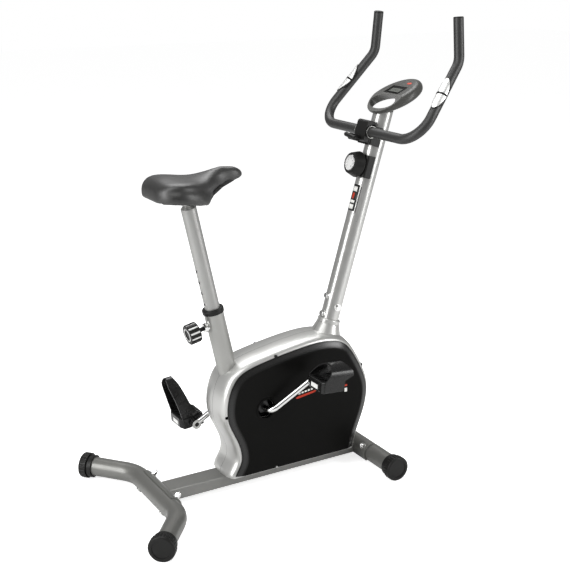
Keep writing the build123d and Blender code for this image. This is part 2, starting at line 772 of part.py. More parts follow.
def drive_pulley():
    """Large belt wheel on the left side of the crank axle."""
    y_low, y_high = PULLEY_Y - PULLEY_T / 2, PULLEY_Y + PULLEY_T / 2
    wheel = disc_y(CRANK_X, CRANK_Z, y_low, y_high, 2 * DRIVE_PULLEY_R)
    groove = disc_y(CRANK_X, CRANK_Z, PULLEY_Y - BELT_W / 2, PULLEY_Y + BELT_W / 2, 2 * DRIVE_PULLEY_R + 10)
    groove -= disc_y(CRANK_X, CRANK_Z, y_low - 1, y_high + 1, 2 * (DRIVE_PULLEY_R - 1.5))
    wheel -= groove
    for y_cut in (y_low, y_high):
        dish = disc_y(CRANK_X, CRANK_Z, y_cut - 3.5, y_cut + 3.5, 2 * DRIVE_PULLEY_R - 24)
        dish -= disc_y(CRANK_X, CRANK_Z, y_cut - 5, y_cut + 5, 56)
        wheel -= dish
    hub_low = BB_SHELL_HALF - BB_CUP_T + CONE_LEN
    hub = disc_y(CRANK_X, CRANK_Z, min(hub_low, y_low), y_high, 40)
    for step in range(6):
        a = 2 * math.pi * step / 6
        wheel -= disc_y(CRANK_X + 52 * math.cos(a), CRANK_Z + 52 * math.sin(a), y_low - 5, y_high + 5, 26)
    cone = disc_y(CRANK_X, CRANK_Z, 0, hub_low, CONE_OD)
    return wheel + hub - disc_y(CRANK_X, CRANK_Z, 0, 100, CRANK_BAR_D) - cone


def flywheel():
    x, z = fly_x(), FLY_Z
    wheel = disc_y(x, z, FLY_Y - FLY_T / 2, FLY_Y + FLY_T / 2, FLY_OD)
    cut = disc_y(x, z, FLY_Y + FLY_WEB_T / 2, FLY_Y + FLY_T, FLY_OD - 2 * FLY_RIM)
    cut += disc_y(x, z, FLY_Y - FLY_T, FLY_Y - FLY_WEB_T / 2, FLY_OD - 2 * FLY_RIM)
    cut -= disc_y(x, z, FLY_Y - FLY_T, FLY_Y + FLY_T, 40)
    return wheel - cut - disc_y(x, z, -100, 100, AXLE_D)


def flywheel_axle():
    """Axle with the small belt pulley, pressed into the flywheel."""
    x, z = fly_x(), FLY_Z
    axle = disc_y(x, z, FLY_Y - FLY_T / 2 - 2, PULLEY_Y + PULLEY_T / 2, AXLE_D)
    pulley = disc_y(x, z, PULLEY_Y - PULLEY_T / 2, PULLEY_Y + PULLEY_T / 2, 2 * DRIVEN_PULLEY_R)
    groove = disc_y(x, z, PULLEY_Y - BELT_W / 2, PULLEY_Y + BELT_W / 2, 2 * DRIVEN_PULLEY_R + 10)
    groove -= disc_y(x, z, -5 + PULLEY_Y, 5 + PULLEY_Y, 2 * (DRIVEN_PULLEY_R - 1.5))
    shoulder = disc_y(x, z, BARREL_HALF + 1, PULLEY_Y - PULLEY_T / 2, AXLE_D + 8)
    return axle + (pulley - groove) + shoulder


def belt_outline(extra):
    """Open-belt loop around both pulleys, extra outside their groove floors."""
    r1 = DRIVE_PULLEY_R - 1.5 + extra
    r2 = DRIVEN_PULLEY_R - 1.5 + extra
    x1, z1, x2, z2 = CRANK_X, CRANK_Z, fly_x(), FLY_Z
    y = PULLEY_Y - (BELT_W - 1) / 2
    plane = on_y(0, y, 0)
    big = disc_y(x1, z1, y, y + BELT_W - 1, 2 * r1)
    small = disc_y(x2, z2, y, y + BELT_W - 1, 2 * r2)
    span = math.hypot(x2 - x1, z2 - z1)
    base = math.atan2(z2 - z1, x2 - x1)
    lean = math.acos((r1 - r2) / span)
    corners = []
    for cx, cz, r, sign in ((x1, z1, r1, 1), (x2, z2, r2, 1), (x2, z2, r2, -1), (x1, z1, r1, -1)):
        a = base + sign * lean
        corners.append((cx + r * math.cos(a), y, cz + r * math.sin(a)))
    web = extrude(make_face(Polyline(*corners, close=True)), amount=BELT_W - 1, dir=(0, 1, 0))
    return big + small + web


def drive_belt():
    return belt_outline(0.3 + BELT_T) - belt_outline(0.3)


def magnet_bracket():
    """Curved steel arm with magnet blocks, swinging on its pin near the flywheel's rim."""
    x, z = fly_x(), FLY_Z
    r_in = FLY_OD / 2 + MAGNET_GAP + 3
    r_out = r_in + MAGNET_ARM_T - 3
    y_low, y_high = FLY_Y - MAGNET_ARM_W / 2, FLY_Y + MAGNET_ARM_W / 2
    ring = disc_y(x, z, y_low, y_high, 2 * r_out) - disc_y(x, z, y_low - 1, y_high + 1, 2 * r_in)
    low, high = math.radians(MAGNET_END_DEG), math.radians(MAGNET_PIN_DEG)
    corners = [(x, y_low - 5, z)]
    for step in range(4):
        a = low + (high - low) * step / 3
        corners.append((x + 200 * math.cos(a), y_low - 5, z + 200 * math.sin(a)))
    wedge = extrude(make_face(Polyline(*corners, close=True)), amount=MAGNET_ARM_W + 10, dir=(0, 1, 0))
    arm = ring & wedge
    for deg in (12, 30, 48):
        a = math.radians(deg)
        plane = Plane(origin=(x + (r_in - 1.2) * math.cos(a), FLY_Y, z + (r_in - 1.2) * math.sin(a)),
                      x_dir=(-math.sin(a), 0, math.cos(a)), z_dir=(math.cos(a), 0, math.sin(a)))
        arm += plane * Box(26, MAGNET_ARM_W - 4, 3.2)
    px, pz = magnet_pin_place()
    arm += disc_y(px, pz, y_low, y_high, MAGNET_HUB_D)
    return arm - disc_y(px, pz, y_low - 1, y_high + 1, MAGNET_PIN_D + 2 * SHAFT_PLAY)


def placed_pedal(shape, side, pitch_deg):
    shape = Rot(0, pitch_deg, 0) * shape
    if side > 0:
        shape = mirrored(shape)
    eye = crank_eye(side)
    return Pos(eye.X, eye.Y, eye.Z) * shape


def pedal_in():
    """Distance from the eye's middle to the pedal's inner face."""
    return CRANK_EYE_T / 2 + PEDAL_GAP_Y


def pedal_body():
    """Moulded platform with cross slots and a smooth rim."""
    y_in = -pedal_in()
    y_out = y_in - PEDAL_W_Y
    half = PEDAL_LEN_X / 2
    low = -PEDAL_H / 2
    corner = PEDAL_CORNER
    outline = [
        (-half, y_out + corner, low), (-half, y_in - 3 * corner, low), (-half + corner, y_in, low),
        (half - corner, y_in, low), (half, y_in - 3 * corner, low), (half, y_out + corner, low),
        (half - corner, y_out, low), (-half + corner, y_out, low),
    ]
    body = extrude(make_face(Polyline(*outline, close=True)), amount=PEDAL_H, dir=(0, 0, 1))
    body = fillet(body.edges().group_by(Axis.Z)[-1] + body.edges().group_by(Axis.Z)[0], 3.0)
    pitch = (PEDAL_W_Y - 26) / PEDAL_RIB_COUNT
    for row in (-1, 1):
        for step in range(PEDAL_RIB_COUNT):
            y = y_in - 13 - (step + 0.5) * pitch
            body -= Pos(row * half * 0.5, y, 0) * Box(half * 0.55, pitch - PEDAL_WALL, PEDAL_H + 10)
    return body


def reflector_places():
    """Middles of a pedal's front and rear reflectors, with the way each looks."""
    y = -pedal_in() - PEDAL_W_Y * 0.52
    return [(Vector(way * PEDAL_LEN_X / 2, y, -2), way) for way in (-1, 1)]


def pedal_reflectors():
    blocks = []
    for place, way in reflector_places():
        x = place.X + way * (0.8 - REFLECTOR_T / 2)
        blocks.append(Pos(x, place.Y, place.Z) * Box(REFLECTOR_T, REFLECTOR_W, REFLECTOR_H))
    return Compound(children=blocks)


def pedal_spindle():
    tip = rod((0, CRANK_EYE_T / 2 - 0.5, 0), (0, -CRANK_EYE_T / 2, 0), SPINDLE_TIP_D)
    collar = rod((0, -CRANK_EYE_T / 2 - 0.2, 0), (0, -pedal_in() - 2, 0), SPINDLE_D)
    return tip + collar


def pedal_unit(arch, outline):
    body = pedal_body() - pedal_reflectors() - strap_loop(arch, outline)
    return body.solids().sort_by(SortBy.VOLUME)[-1] + pedal_spindle()


def ribbon(centre, thickness):
    """Closed face of even thickness along a smooth line of points in the YZ plane."""
    over, under = [], []
    for i, (y, z) in enumerate(centre):
        before = centre[max(i - 1, 0)]
        after = centre[min(i + 1, len(centre) - 1)]
        ty, tz = after[0] - before[0], after[1] - before[1]
        length = math.hypot(ty, tz)
        ny, nz = tz / length, -ty / length
        over.append((0, y - ny * thickness / 2, z - nz * thickness / 2))
        under.append((0, y + ny * thickness / 2, z + nz * thickness / 2))
    edges = Spline(*over) + Line(over[-1], under[-1]) + Spline(*reversed(under)) + Line(under[0], over[0])
    return make_face(edges)


def strap_loop(arch, outline):
    """Rubber foot strap: up from a slot by the crank, over the foot, down outside the pedal.

    arch is its height over the pedal; outline is its shape seen from the side.
    """
    y_in = -pedal_in() - STRAP_INSET_Y
    y_out = -pedal_in() - PEDAL_W_Y - STRAP_T / 2
    z_top = PEDAL_H / 2
    centre = [
        (y_in, z_top - 7), (y_in, z_top + arch * 0.2), (y_in - 5, z_top + arch * 0.55),
        (y_in - 19, z_top + arch * 0.86), (y_in - 42, z_top + arch), (y_out + 17, z_top + arch * 0.88),
        (y_out + 3, z_top + arch * 0.56), (y_out, z_top + arch * 0.15), (y_out, z_top - 8),
        (y_out, -z_top + 4),
    ]
    band = extrude(ribbon(centre, STRAP_T), amount=90, both=True, dir=(1, 0, 0))
    side = make_face(Polyline(*[(x, 0, z) for x, z in outline], close=True))
    return band & extrude(side, amount=150, dir=(0, -1, 0))


def strap_right_outline():
    """The right strap leans forward over the pedal."""
    h = PEDAL_H / 2
    return [(-29, -h), (-29, h), (-14, h + 16), (4, h + 40), (40, h + 40), (54, h + 26), (56, h + 12),
            (30, h), (29, -h)]


def strap_left_outline():
    """The left strap stands tall and leans back, narrowing to its crown."""
    h = PEDAL_H / 2
    return [(-29, -h), (-30, h), (-40, h + 45), (-52, h + 92), (-51, h + 108), (-43, h + 116), (-31, h + 114),
            (-22, h + 96), (-4, h + 42), (10, h + 18), (29, h), (29, -h)]


# ================================================================ saddle group
def seat_hole_places():
    cross, out = knob_frame()
    first = -2
    return [cross + SEAT_DIR * (SEAT_HOLE_PITCH * (first + i)) for i in range(SEAT_HOLE_COUNT)]


def seat_post():
    """Sliding post: holes down its back, drawn in to a neck for the saddle clamp."""
    shoulder = seat_point(SEAT_POST_TOP_Z)
    tube = pipe(seat_point(SEAT_POST_LOW_Z), shoulder, SEAT_POST_OD, SEAT_POST_OD - 2 * SEAT_POST_WALL)
    low = Plane(origin=shoulder, z_dir=SEAT_DIR)
    high = Plane(origin=shoulder + SEAT_DIR * SEAT_TAPER_LEN, z_dir=SEAT_DIR)
    taper = loft([low * Circle(SEAT_POST_OD / 2), high * Circle(SEAT_NECK_OD / 2)])
    neck = rod(high.origin, high.origin + SEAT_DIR * SEAT_NECK_LEN, SEAT_NECK_OD)
    post = tube + taper + neck
    cross, out = knob_frame()
    for place in seat_hole_places():
        post -= rod(place, place + out * SEAT_POST_OD, SEAT_HOLE_D)
    return post


def neck_top():
    return seat_point(SEAT_POST_TOP_Z) + SEAT_DIR * (SEAT_TAPER_LEN + SEAT_NECK_LEN)


def seat_collar():
    """Plastic bushing between seat tube and post, with a thick lip on top."""
    top = seat_point(SEAT_TUBE_TOP_Z)
    lip = rod(top, top + SEAT_DIR * COLLAR_LIP_H, COLLAR_OD)
    rims = lip.edges().filter_by(GeomType.CIRCLE).sort_by(Axis(tuple(top), tuple(SEAT_DIR)))
    lip = fillet(rims[-1], 4.0)
    sleeve = rod(top - SEAT_DIR * COLLAR_SLEEVE_LEN, top, SEAT_TUBE_OD - 2 * SEAT_TUBE_WALL)
    skirt = rod(top - SEAT_DIR * COLLAR_SKIRT_H, top, COLLAR_OD) - rod(top - SEAT_DIR * 20, top, SEAT_TUBE_OD)
    bore = rod(top - SEAT_DIR * 60, top + SEAT_DIR * 60, SEAT_POST_OD + 2 * SHAFT_PLAY)
    return lip + sleeve + skirt - bore


def knob_boss():
    """Threaded boss welded on the back of the seat tube."""
    cross, out = knob_frame()
    skin = SEAT_TUBE_OD / 2
    boss = rod(cross, cross + out * (skin + KNOB_BOSS_LEN), KNOB_BOSS_D)
    hexed = hexagon(Plane(origin=cross + out * (skin + 3), z_dir=out), KNOB_BOSS_D + 3, KNOB_BOSS_LEN - 3)
    hexed &= rod(cross, cross + out * (skin + KNOB_BOSS_LEN), KNOB_BOSS_D * 1.25)
    tube = rod(cross - SEAT_DIR * 60, cross + SEAT_DIR * 60, SEAT_TUBE_OD)
    return boss + hexed - tube - rod(cross, cross + out * 80, KNOB_STEM_D + 2 * SHAFT_PLAY)


def adjust_knob():
    """Pull knob with its locking pin, drawn just clear of the post."""
    cross, out = knob_frame()
    skin = SEAT_TUBE_OD / 2
    pin = rod(cross + out * (SEAT_POST_OD / 2 + 0.5), cross + out * (skin + 4), KNOB_PIN_D)
    stem = rod(cross + out * (skin + 1), cross + out * (skin + KNOB_BOSS_LEN + KNOB_STEM_LEN), KNOB_STEM_D)
    back = cross + out * (skin + KNOB_BOSS_LEN + KNOB_STEM_LEN - 1)
    head = rod(back, back + out * KNOB_LEN, KNOB_D)
    rims = head.edges().filter_by(GeomType.CIRCLE)
    head = fillet(rims, 3.0)
    side_dir = Vector(0, 1, 0)
    up_dir = out.cross(side_dir)
    for step in range(KNOB_FLUTES):
        a = 2 * math.pi * (step + 0.5) / KNOB_FLUTES
        rim = side_dir * math.cos(a) + up_dir * math.sin(a)
        centre = back + rim * (KNOB_D / 2 + 1.5)
        head -= rod(centre - out, centre + out * (KNOB_LEN + 1), 2 * KNOB_FLUTE_R)
    face = back + out * KNOB_LEN
    head -= rod(face - out * 1.2, face + out, KNOB_D * 0.42)
    return pin + stem + head


def saddle_clamp():
    """Steel clamp on the post's neck, under the saddle."""
    top = neck_top()
    sleeve = rod(top - SEAT_DIR * CLAMP_H, top, CLAMP_OD)
    sleeve -= rod(top - SEAT_DIR * (CLAMP_H + 2), top + SEAT_DIR, SEAT_NECK_OD)
    mid = top - SEAT_DIR * (CLAMP_H * 0.5)
    ear = rod(mid - Vector(0, 30, 0), mid + Vector(0, 30, 0), 19) - rod(
        top - SEAT_DIR * 60, top + SEAT_DIR * 5, SEAT_NECK_OD)
    bolt = rod(mid - Vector(0, 36, 0), mid + Vector(0, 36, 0), 9) - rod(
        top - SEAT_DIR * 60, top + SEAT_DIR * 5, SEAT_NECK_OD)
    return sleeve + ear + bolt


def saddle_sections():
    """Place, half width, crown and rim of the saddle's cross-sections, tail to nose."""
    span = SADDLE_NOSE_X - SADDLE_TAIL_X
    rows = [
        (0.00, 0.48, -18, 6), (0.05, 0.76, -9, 5), (0.14, 0.96, -1, 4), (0.28, 1.00, -1, 0),
        (0.41, 0.89, -4, -6), (0.52, 0.70, -3, -10), (0.62, 0.43, 3, 6), (0.75, 0.23, 11, 20),
        (0.88, 0.20, 12, 33), (0.96, 0.15, 5, 39), (1.00, 0.07, -5, 43),
    ]
    return [(SADDLE_TAIL_X + span * t, SADDLE_HALF_W * w, SADDLE_TOP_Z + c, SADDLE_SKIRT_Z + r)
            for t, w, c, r in rows]


def saddle_section_face(x, half, crown, rim):
    """Closed cross-section: flat underside, full sides and a domed top."""
    height = crown - rim
    left = [(x, 0, crown), (x, half * 0.55, crown - height * 0.07), (x, half * 0.93, rim + height * 0.72),
            (x, half, rim + height * 0.36), (x, half * 0.94, rim)]
    right = [(px, -py, pz) for px, py, pz in reversed(left[1:])]
    return make_face(Spline(*(right + left)) + Line(left[-1], right[0]))


def saddle_pan_block(low, high, margin):
    """Flat-bottomed volume between two heights over the rim, margin inside the pad's edge."""
    faces = []
    for x, half, crown, rim in saddle_sections()[1:-2]:
        w = half * 0.86 - margin
        outline = [(x, -w, rim + low), (x, -w, rim + high), (x, w, rim + high), (x, w, rim + low)]
        faces.append(make_face(Polyline(*outline, close=True)))
    return loft(faces, ruled=True)


def saddle_well(height):
    """Round space in the saddle's underside for its clamp."""
    top = neck_top()
    return rod(top - SEAT_DIR * 60, top + SEAT_DIR * height, SADDLE_WELL_D)


def saddle_pad():
    pad = loft([saddle_section_face(*row) for row in saddle_sections()])
    return pad - saddle_pan_block(-5.0, SADDLE_PAN_RECESS + SADDLE_PAN_H, 0.0) - saddle_well(6.0)


def saddle_base():
    """Moulded pan with a round bridge that sits on the clamp."""
    top = neck_top()
    pan = saddle_pan_block(SADDLE_PAN_RECESS, SADDLE_PAN_RECESS + SADDLE_PAN_H, 0.0) - saddle_well(6.0)
    bridge = rod(top, top + SEAT_DIR * 6, SADDLE_WELL_D)
    skirt = rod(top - SEAT_DIR * 9, top + SEAT_DIR * 6, SADDLE_WELL_D) - rod(
        top - SEAT_DIR * 10, top, SADDLE_WELL_D - 8)
    return pan + bridge + skirt


# ================================================================ handlebar group
def bar_points(side):
    """Corner points of one half of the bar, from the middle outwards."""
    return [
        Vector(BAR_X, side * BAR_HALF_Y, BAR_Z), Vector(BAR_BEND_X, side * BAR_BEND_Y, BAR_BEND_Z),
        Vector(BAR_END_X, side * BAR_END_Y, BAR_END_Z),
    ]


def half_bar_path(side, start_y):
    """Wire from start_y on the cross run to the end of one grip."""
    corner, bend, end = bar_points(side)
    return bar_wire([Vector(BAR_X, side * start_y, BAR_Z), corner, bend, end])


def bar_wire(points):
    """Cross run, wide lower bend, arm, tighter upper bend and grip."""
    start, corner, bend, end = points
    lower = fillet_corner(start, corner, bend, BAR_LOW_BEND_R)
    upper = fillet_corner(corner, bend, end, BAR_HIGH_BEND_R)
    return Wire([
        Edge.make_line(start, lower[0]), arc_edge(*lower), Edge.make_line(lower[2], upper[0]),
        arc_edge(*upper), Edge.make_line(upper[2], end),
    ])


def fillet_corner(a, b, c, radius):
    """Tangent points and mid point of a bend of given radius at corner b."""
    u = (a - b).normalized()
    v = (c - b).normalized()
    half = u.get_angle(v) / 2
    reach = radius / math.tan(math.radians(half))
    start, end = b + u * reach, b + v * reach
    bisector = (u + v).normalized()
    centre = b + bisector * (radius / math.sin(math.radians(half)))
    return start, centre - bisector * radius, end


def arc_edge(start, middle, end):
    return Edge.make_three_point_arc(start, middle, end)


def swept(path, diameter):
    plane = Plane(origin=path @ 0, z_dir=path % 0)
    return sweep(plane * Circle(diameter / 2), path=path)


def handlebar():
    """Steel tube bent to a wide bottle shape, in one piece."""
    halves = []
    for side in (-1, 1):
        path = half_bar_path(side, 0)
        halves.append(swept(path, BAR_TUBE_OD))
    solid = halves[0] + halves[1]
    bores = []
    for side in (-1, 1):
        bores.append(swept(half_bar_path(side, 0), BAR_TUBE_OD - 2 * BAR_TUBE_WALL))
    return solid - (bores[0] + bores[1])


def grip_sleeve(side):
    """Foam sleeve from the clamp to the grip's end, cut away under the pulse plates."""
    path = half_bar_path(side, SADDLE_WRAP_W / 2 + 0.5)
    sleeve = swept(path, SLEEVE_OD) - swept(path, BAR_TUBE_OD)
    return sleeve - pulse_oval(side, PULSE_RIM)


def arm_point(side, part):
    corner, bend, end = bar_points(side)
    return corner + (bend - corner) * part


def pulse_plane(side):
    """Frame of an arm's pulse plates: x up the arm, z towards the rider's palm."""
    a, b = arm_point(side, 0.0), arm_point(side, 1.0)
    along = (b - a).normalized()
    out = Vector(-1, side * PULSE_TURN_OUT, 0.35)
    out = (out - along * out.dot(along)).normalized()
    return Plane(origin=arm_point(side, PULSE_PLACE), x_dir=along, z_dir=out)


def pulse_oval(side, extra):
    """Oval prism over the palm side of an arm."""
    oval = pulse_plane(side) * Ellipse(PULSE_HALF_LEN + extra, PULSE_HALF_W + extra / 2)
    return extrude(oval, amount=60)


def arm_rod(side, diameter):
    return rod(arm_point(side, 0.1), arm_point(side, 0.98), diameter)


def pulse_split(side, width):
    return pulse_plane(side) * Box(width, 60, 200)


def pulse_plate_set(side):
    ring = arm_rod(side, PULSE_PLATE_OD) - arm_rod(side, PULSE_PLATE_OD - 2 * PULSE_PLATE_T)
    return (ring & pulse_oval(side, 0.0)) - pulse_split(side, PULSE_SPLIT)


def pulse_holders():
    """Plastic seats under the pulse plates, with a raised bar between them."""
    holders = []
    for side in (-1, 1):
        ring = arm_rod(side, PULSE_HOLDER_OD) - arm_rod(side, BAR_TUBE_OD)
        seat = ring & pulse_oval(side, PULSE_RIM)
        bar = arm_rod(side, PULSE_PLATE_OD + 1.5) - arm_rod(side, BAR_TUBE_OD)
        bar = bar & pulse_oval(side, 0.0) & pulse_split(side, PULSE_SPLIT - 0.4)
        holders.append(seat + bar - pulse_plate_set(side))
    return Compound(children=holders)


def pulse_plates():
    """Pressed metal contact plates, two on each arm."""
    return Compound(children=[pulse_plate_set(side) for side in (-1, 1)])


def grip_plugs():
    plugs = []
    for side in (-1, 1):
        corner, bend, end = bar_points(side)
        way = (end - bend).normalized()
        cap = rod(end, end + way * PLUG_T, SLEEVE_OD)
        rims = cap.edges().filter_by(GeomType.CIRCLE).sort_by(Axis(tuple(end), tuple(way)))
        cap = fillet(rims[-1], 2.5)
        stem = rod(end - way * 14, end + way, BAR_TUBE_OD - 2 * BAR_TUBE_WALL)
        plugs.append(cap + stem)
    return Compound(children=plugs)


def clamp_back():
    """Unit vector from the mast's axis to the bar's axis, square to the mast."""
    return Vector(-math.cos(math.radians(MAST_LEAN_DEG)), 0, math.sin(math.radians(MAST_LEAN_DEG)))


def bar_centre():
    return Vector(BAR_X, 0, BAR_Z)


def mast_core(extra=0.0):
    return rod(mast_point(600), mast_point(MAST_TOP_Z + 40), MAST_OD + 2 * extra)


def bar_bore():
    r = BAR_TUBE_OD / 2 + SHAFT_PLAY
    return disc_y(BAR_X, BAR_Z, -60, 60, 2 * r)


def clamp_plane():
    """Frame of the clamp: x away from the mast, y along the bar, z up the mast."""
    return Plane(origin=bar_centre(), x_dir=clamp_back(), z_dir=MAST_DIR)


def clamp_bolt_point():
    return bar_centre() - MAST_DIR * CLAMP_BOLT_DROP


def clamp_bolt_hole():
    bolt = clamp_bolt_point()
    return rod(bolt - clamp_back() * 20, bolt + clamp_back() * 40, CLAMP_BOLT_D + 2 * SHAFT_PLAY)


def bar_saddle():
    """Cradle welded on the mast's back: it wraps the mast and takes the front half of the bar."""
    plane = clamp_plane()
    wrap = plane * (Pos(-19, 0, -8) * Box(36, SADDLE_WRAP_W, 50))
    wrap = fillet(wrap.edges().filter_by(Axis(tuple(bar_centre()), tuple(MAST_DIR))), 5.0)
    nose = plane * (Pos(-2, 0, -9) * Box(3.8, BAR_CLAMP_W, 46))
    block = wrap + nose - mast_core() - bar_bore() - clamp_bolt_hole()
    return block.solids().sort_by(SortBy.VOLUME)[-1]


def clamp_cap():
    """Rear half of the clamp: a rounded shell over the bar, drawn in by the T-knob's bolt."""
    plane = clamp_plane()
    depth = CLAMP_CAP_OUT - CLAMP_CAP_SEAM
    height = CLAMP_CAP_TOP + CLAMP_CAP_LOW
    middle = Pos(CLAMP_CAP_SEAM + depth / 2, 0, (CLAMP_CAP_TOP - CLAMP_CAP_LOW) / 2)
    block = plane * (middle * Box(depth, BAR_CLAMP_W, height))
    along = Axis(tuple(bar_centre()), (0, 1, 0))
    rear_edges = block.edges().filter_by(along).sort_by(Axis(tuple(bar_centre()), tuple(clamp_back())))[-2:]
    block = fillet(rear_edges, 8.0)
    hood = plane * (Pos(-5, 0, CLAMP_CAP_TOP - 4) * Box(11.5, BAR_CLAMP_W, 8))
    return block + hood - bar_bore() - clamp_bolt_hole()


def clamp_knob():
    """T-handle on the bolt that tightens the clamp."""
    out = clamp_back()
    bolt = clamp_bolt_point()
    shank = rod(bolt - out * 8, bolt + out * T_KNOB_OUT, CLAMP_BOLT_D)
    hub = rod(bolt + out * (CLAMP_CAP_OUT + 0.5), bolt + out * (T_KNOB_OUT + 2), T_HUB_D)
    wing_dir = (Vector(0, 1, 0) + MAST_DIR * 0.12).normalized()
    centre = bolt + out * T_KNOB_OUT
    wing = rod(centre - wing_dir * (T_KNOB_LEN / 2), centre + wing_dir * (T_KNOB_LEN / 2), T_KNOB_D)
    wing = fillet(wing.edges().filter_by(GeomType.CIRCLE), 4.0)
    return shank + hub + wing


# ================================================================ tension knob
def tension_out():
    return Vector(-math.cos(math.radians(MAST_LEAN_DEG)), 0, math.sin(math.radians(MAST_LEAN_DEG)))


def knob_base():
    """Plastic base that wraps the back of the mast and carries the tension knob."""
    cross, out = mast_point(TENSION_Z), tension_out()
    plane = Plane(origin=cross, x_dir=out, z_dir=MAST_DIR)
    depth = MAST_OD / 2 + TENSION_BASE_T
    front = 5.0
    block = plane * (Pos((depth + front) / 2, 0, 0) * Box(depth - front, TENSION_BASE_W + 4, TENSION_BASE_H))
    block = fillet(block.edges().filter_by(Axis(tuple(cross), tuple(MAST_DIR))), 7.0)
    plate = rod(cross, cross + out * (depth + 3), 40)
    pin_hole = rod(cross, cross + out * 80, 8 + 2 * SHAFT_PLAY)
    return (block + plate) - mast_core() - pin_hole


def tension_knob():
    """Ribbed conical knob on a short shaft."""
    cross, out = mast_point(TENSION_Z), tension_out()
    start = MAST_OD / 2 + TENSION_BASE_T + 3 + SHELL_GAP
    back = cross + out * start
    plane_back = Plane(origin=back, z_dir=out)
    plane_front = Plane(origin=back + out * TENSION_LEN, z_dir=out)
    body = loft([plane_back * Circle(TENSION_D_BACK / 2), plane_front * Circle(TENSION_D_FRONT / 2)])
    rims = body.edges().filter_by(GeomType.CIRCLE)
    body = fillet(rims, 2.5)
    side_dir = Vector(0, 1, 0)
    up_dir = out.cross(side_dir)
    for step in range(TENSION_RIBS):
        a = 2 * math.pi * step / TENSION_RIBS
        rim = side_dir * math.cos(a) + up_dir * math.sin(a)
        start_p = back + out * 5 + rim * (TENSION_D_BACK / 2 + 0.6)
        end_p = back + out * (TENSION_LEN + 2) + rim * (TENSION_D_FRONT / 2 + 0.2)
        body -= rod(start_p, end_p, 3.6)
    shaft = rod(cross + out * (MAST_OD / 2 + 1), back + out, 8)
    face = back + out * TENSION_LEN
    seat = rod(face - out * 1.0, face + out * 3, DIAL_D)
    return body + shaft - seat


def tension_dial():
    """Silver scale plate set in the knob's face."""
    cross, out = mast_point(TENSION_Z), tension_out()
    face = cross + out * (MAST_OD / 2 + TENSION_BASE_T + 3 + SHELL_GAP + TENSION_LEN)
    return rod(face - out * 1.0, face + out * (DIAL_T - 1.0), DIAL_D)


# ================================================================ console
def console_plane(height=0.0):
    """Frame of the console's face: x towards the front of the bike, y left, z out of the face."""
    a = math.radians(CONSOLE_TILT_DEG)
    x_dir = Vector(math.cos(a), 0, math.sin(a))
    z_dir = Vector(-math.sin(a), 0, math.cos(a))
    return Plane(origin=Vector(CONSOLE_X, 0, CONSOLE_Z) + z_dir * height, x_dir=x_dir, z_dir=z_dir)


def console_oval(height, scale):
    return console_plane(height) * Ellipse(CONSOLE_HALF_V * scale, CONSOLE_HALF_U * scale)


def console_hole_section(height, forward_v, half_u):
    """Oval of the console's open ring at one height, from its rider end to forward_v."""
    centre = (HOLE_RIDER_V + forward_v) / 2
    return console_plane(height) * (Pos(centre, 0, 0) * Ellipse((forward_v - HOLE_RIDER_V) / 2, half_u))


def console_hole():
    """Opening through the console, undercut below the display."""
    return loft([
        console_hole_section(-CONSOLE_T - 3, 12.0, HOLE_HALF_U),
        console_hole_section(-CONSOLE_SPLIT, -2.0, HOLE_HALF_U),
        console_hole_section(4.0, -22.0, HOLE_HALF_U - 4),
    ])


def above_ring():
    """Space over the console's top, which falls away smoothly towards the rider."""
    slope = [(-6, 0.6), (-20, -2.2), (-38, -7.0), (-55, -11.5), (-70, -14.5), (-90, -16.0)]
    plane = console_plane()
    points = [plane.origin + plane.x_dir * v + plane.z_dir * h + Vector(0, -100, 0) for v, h in slope]
    top = [plane.origin + plane.x_dir * v + plane.z_dir * 20 + Vector(0, -100, 0) for v in (-90, -6)]
    edge = Spline(*points) + Polyline(points[-1], top[0], top[1], points[0])
    return extrude(make_face(edge), amount=200, dir=(0, 1, 0))


def console_shell():
    """Upper half: a domed shell with a window recess and a button hole."""
    steps = [(-CONSOLE_SPLIT, 1.0), (-10.0, 0.992), (-5.0, 0.955), (-1.2, 0.87), (0.0, 0.76)]
    dome = loft([console_oval(h, s) for h, s in steps])
    recess = console_plane() * (Pos(LCD_V, 0, 0) * Box(LCD_H, LCD_W, 2 * LCD_RECESS))
    button = extrude(Ellipse(BUTTON_B + SHELL_GAP, BUTTON_A + SHELL_GAP), amount=12, both=True)
    button = console_plane() * (Pos(BUTTON_V, -BUTTON_U, 0) * button)
    inner = loft([console_oval(h, s) for h, s in
                  [(-CONSOLE_SPLIT - 1, 0.96), (-10.0, 0.94), (-6.5, 0.80)]])
    front = console_plane() * (Pos(90, 0, 0) * Box(200, 300, 100))
    inner = (inner & front) - hole_wall()
    return dome - inner - recess - button - above_ring() - console_hole()


def hole_wall():
    """The hole's volume grown by one wall, so that the shell keeps a skin around it."""
    grow = CONSOLE_WALL
    return loft([
        console_hole_section(-CONSOLE_T - 3, 12.0 + grow, HOLE_HALF_U + grow),
        console_hole_section(-CONSOLE_SPLIT, -2.0 + grow, HOLE_HALF_U + grow),
        console_hole_section(4.0, -22.0 + grow, HOLE_HALF_U - 4 + grow),
    ])


def console_base():
    """Lower ring of the console, with the plug that seats in the mast's top."""
    steps = [(-CONSOLE_SPLIT, 1.0), (-CONSOLE_SPLIT - 5, 0.975), (-CONSOLE_T, 0.87)]
    ring = loft([console_oval(h, s) for h, s in steps]) - console_hole()
    top = mast_point(MAST_TOP_Z)
    over = mast_point(MAST_TOP_Z + 20)
    low = top - MAST_DIR * SOCKET_PLUG_LEN
    plug = below_mast_top(rod(low, over, MAST_OD - 2 * MAST_WALL))
    flange = rod(low, over, MAST_OD) & (Pos(top.X, 0, MAST_TOP_Z + SOCKET_FLANGE_H / 2) * Box(
        100, 100, SOCKET_FLANGE_H))
    tube = below_mast_top(rod(low - MAST_DIR * 50, over, MAST_OD))
    return (ring - tube) + plug + flange


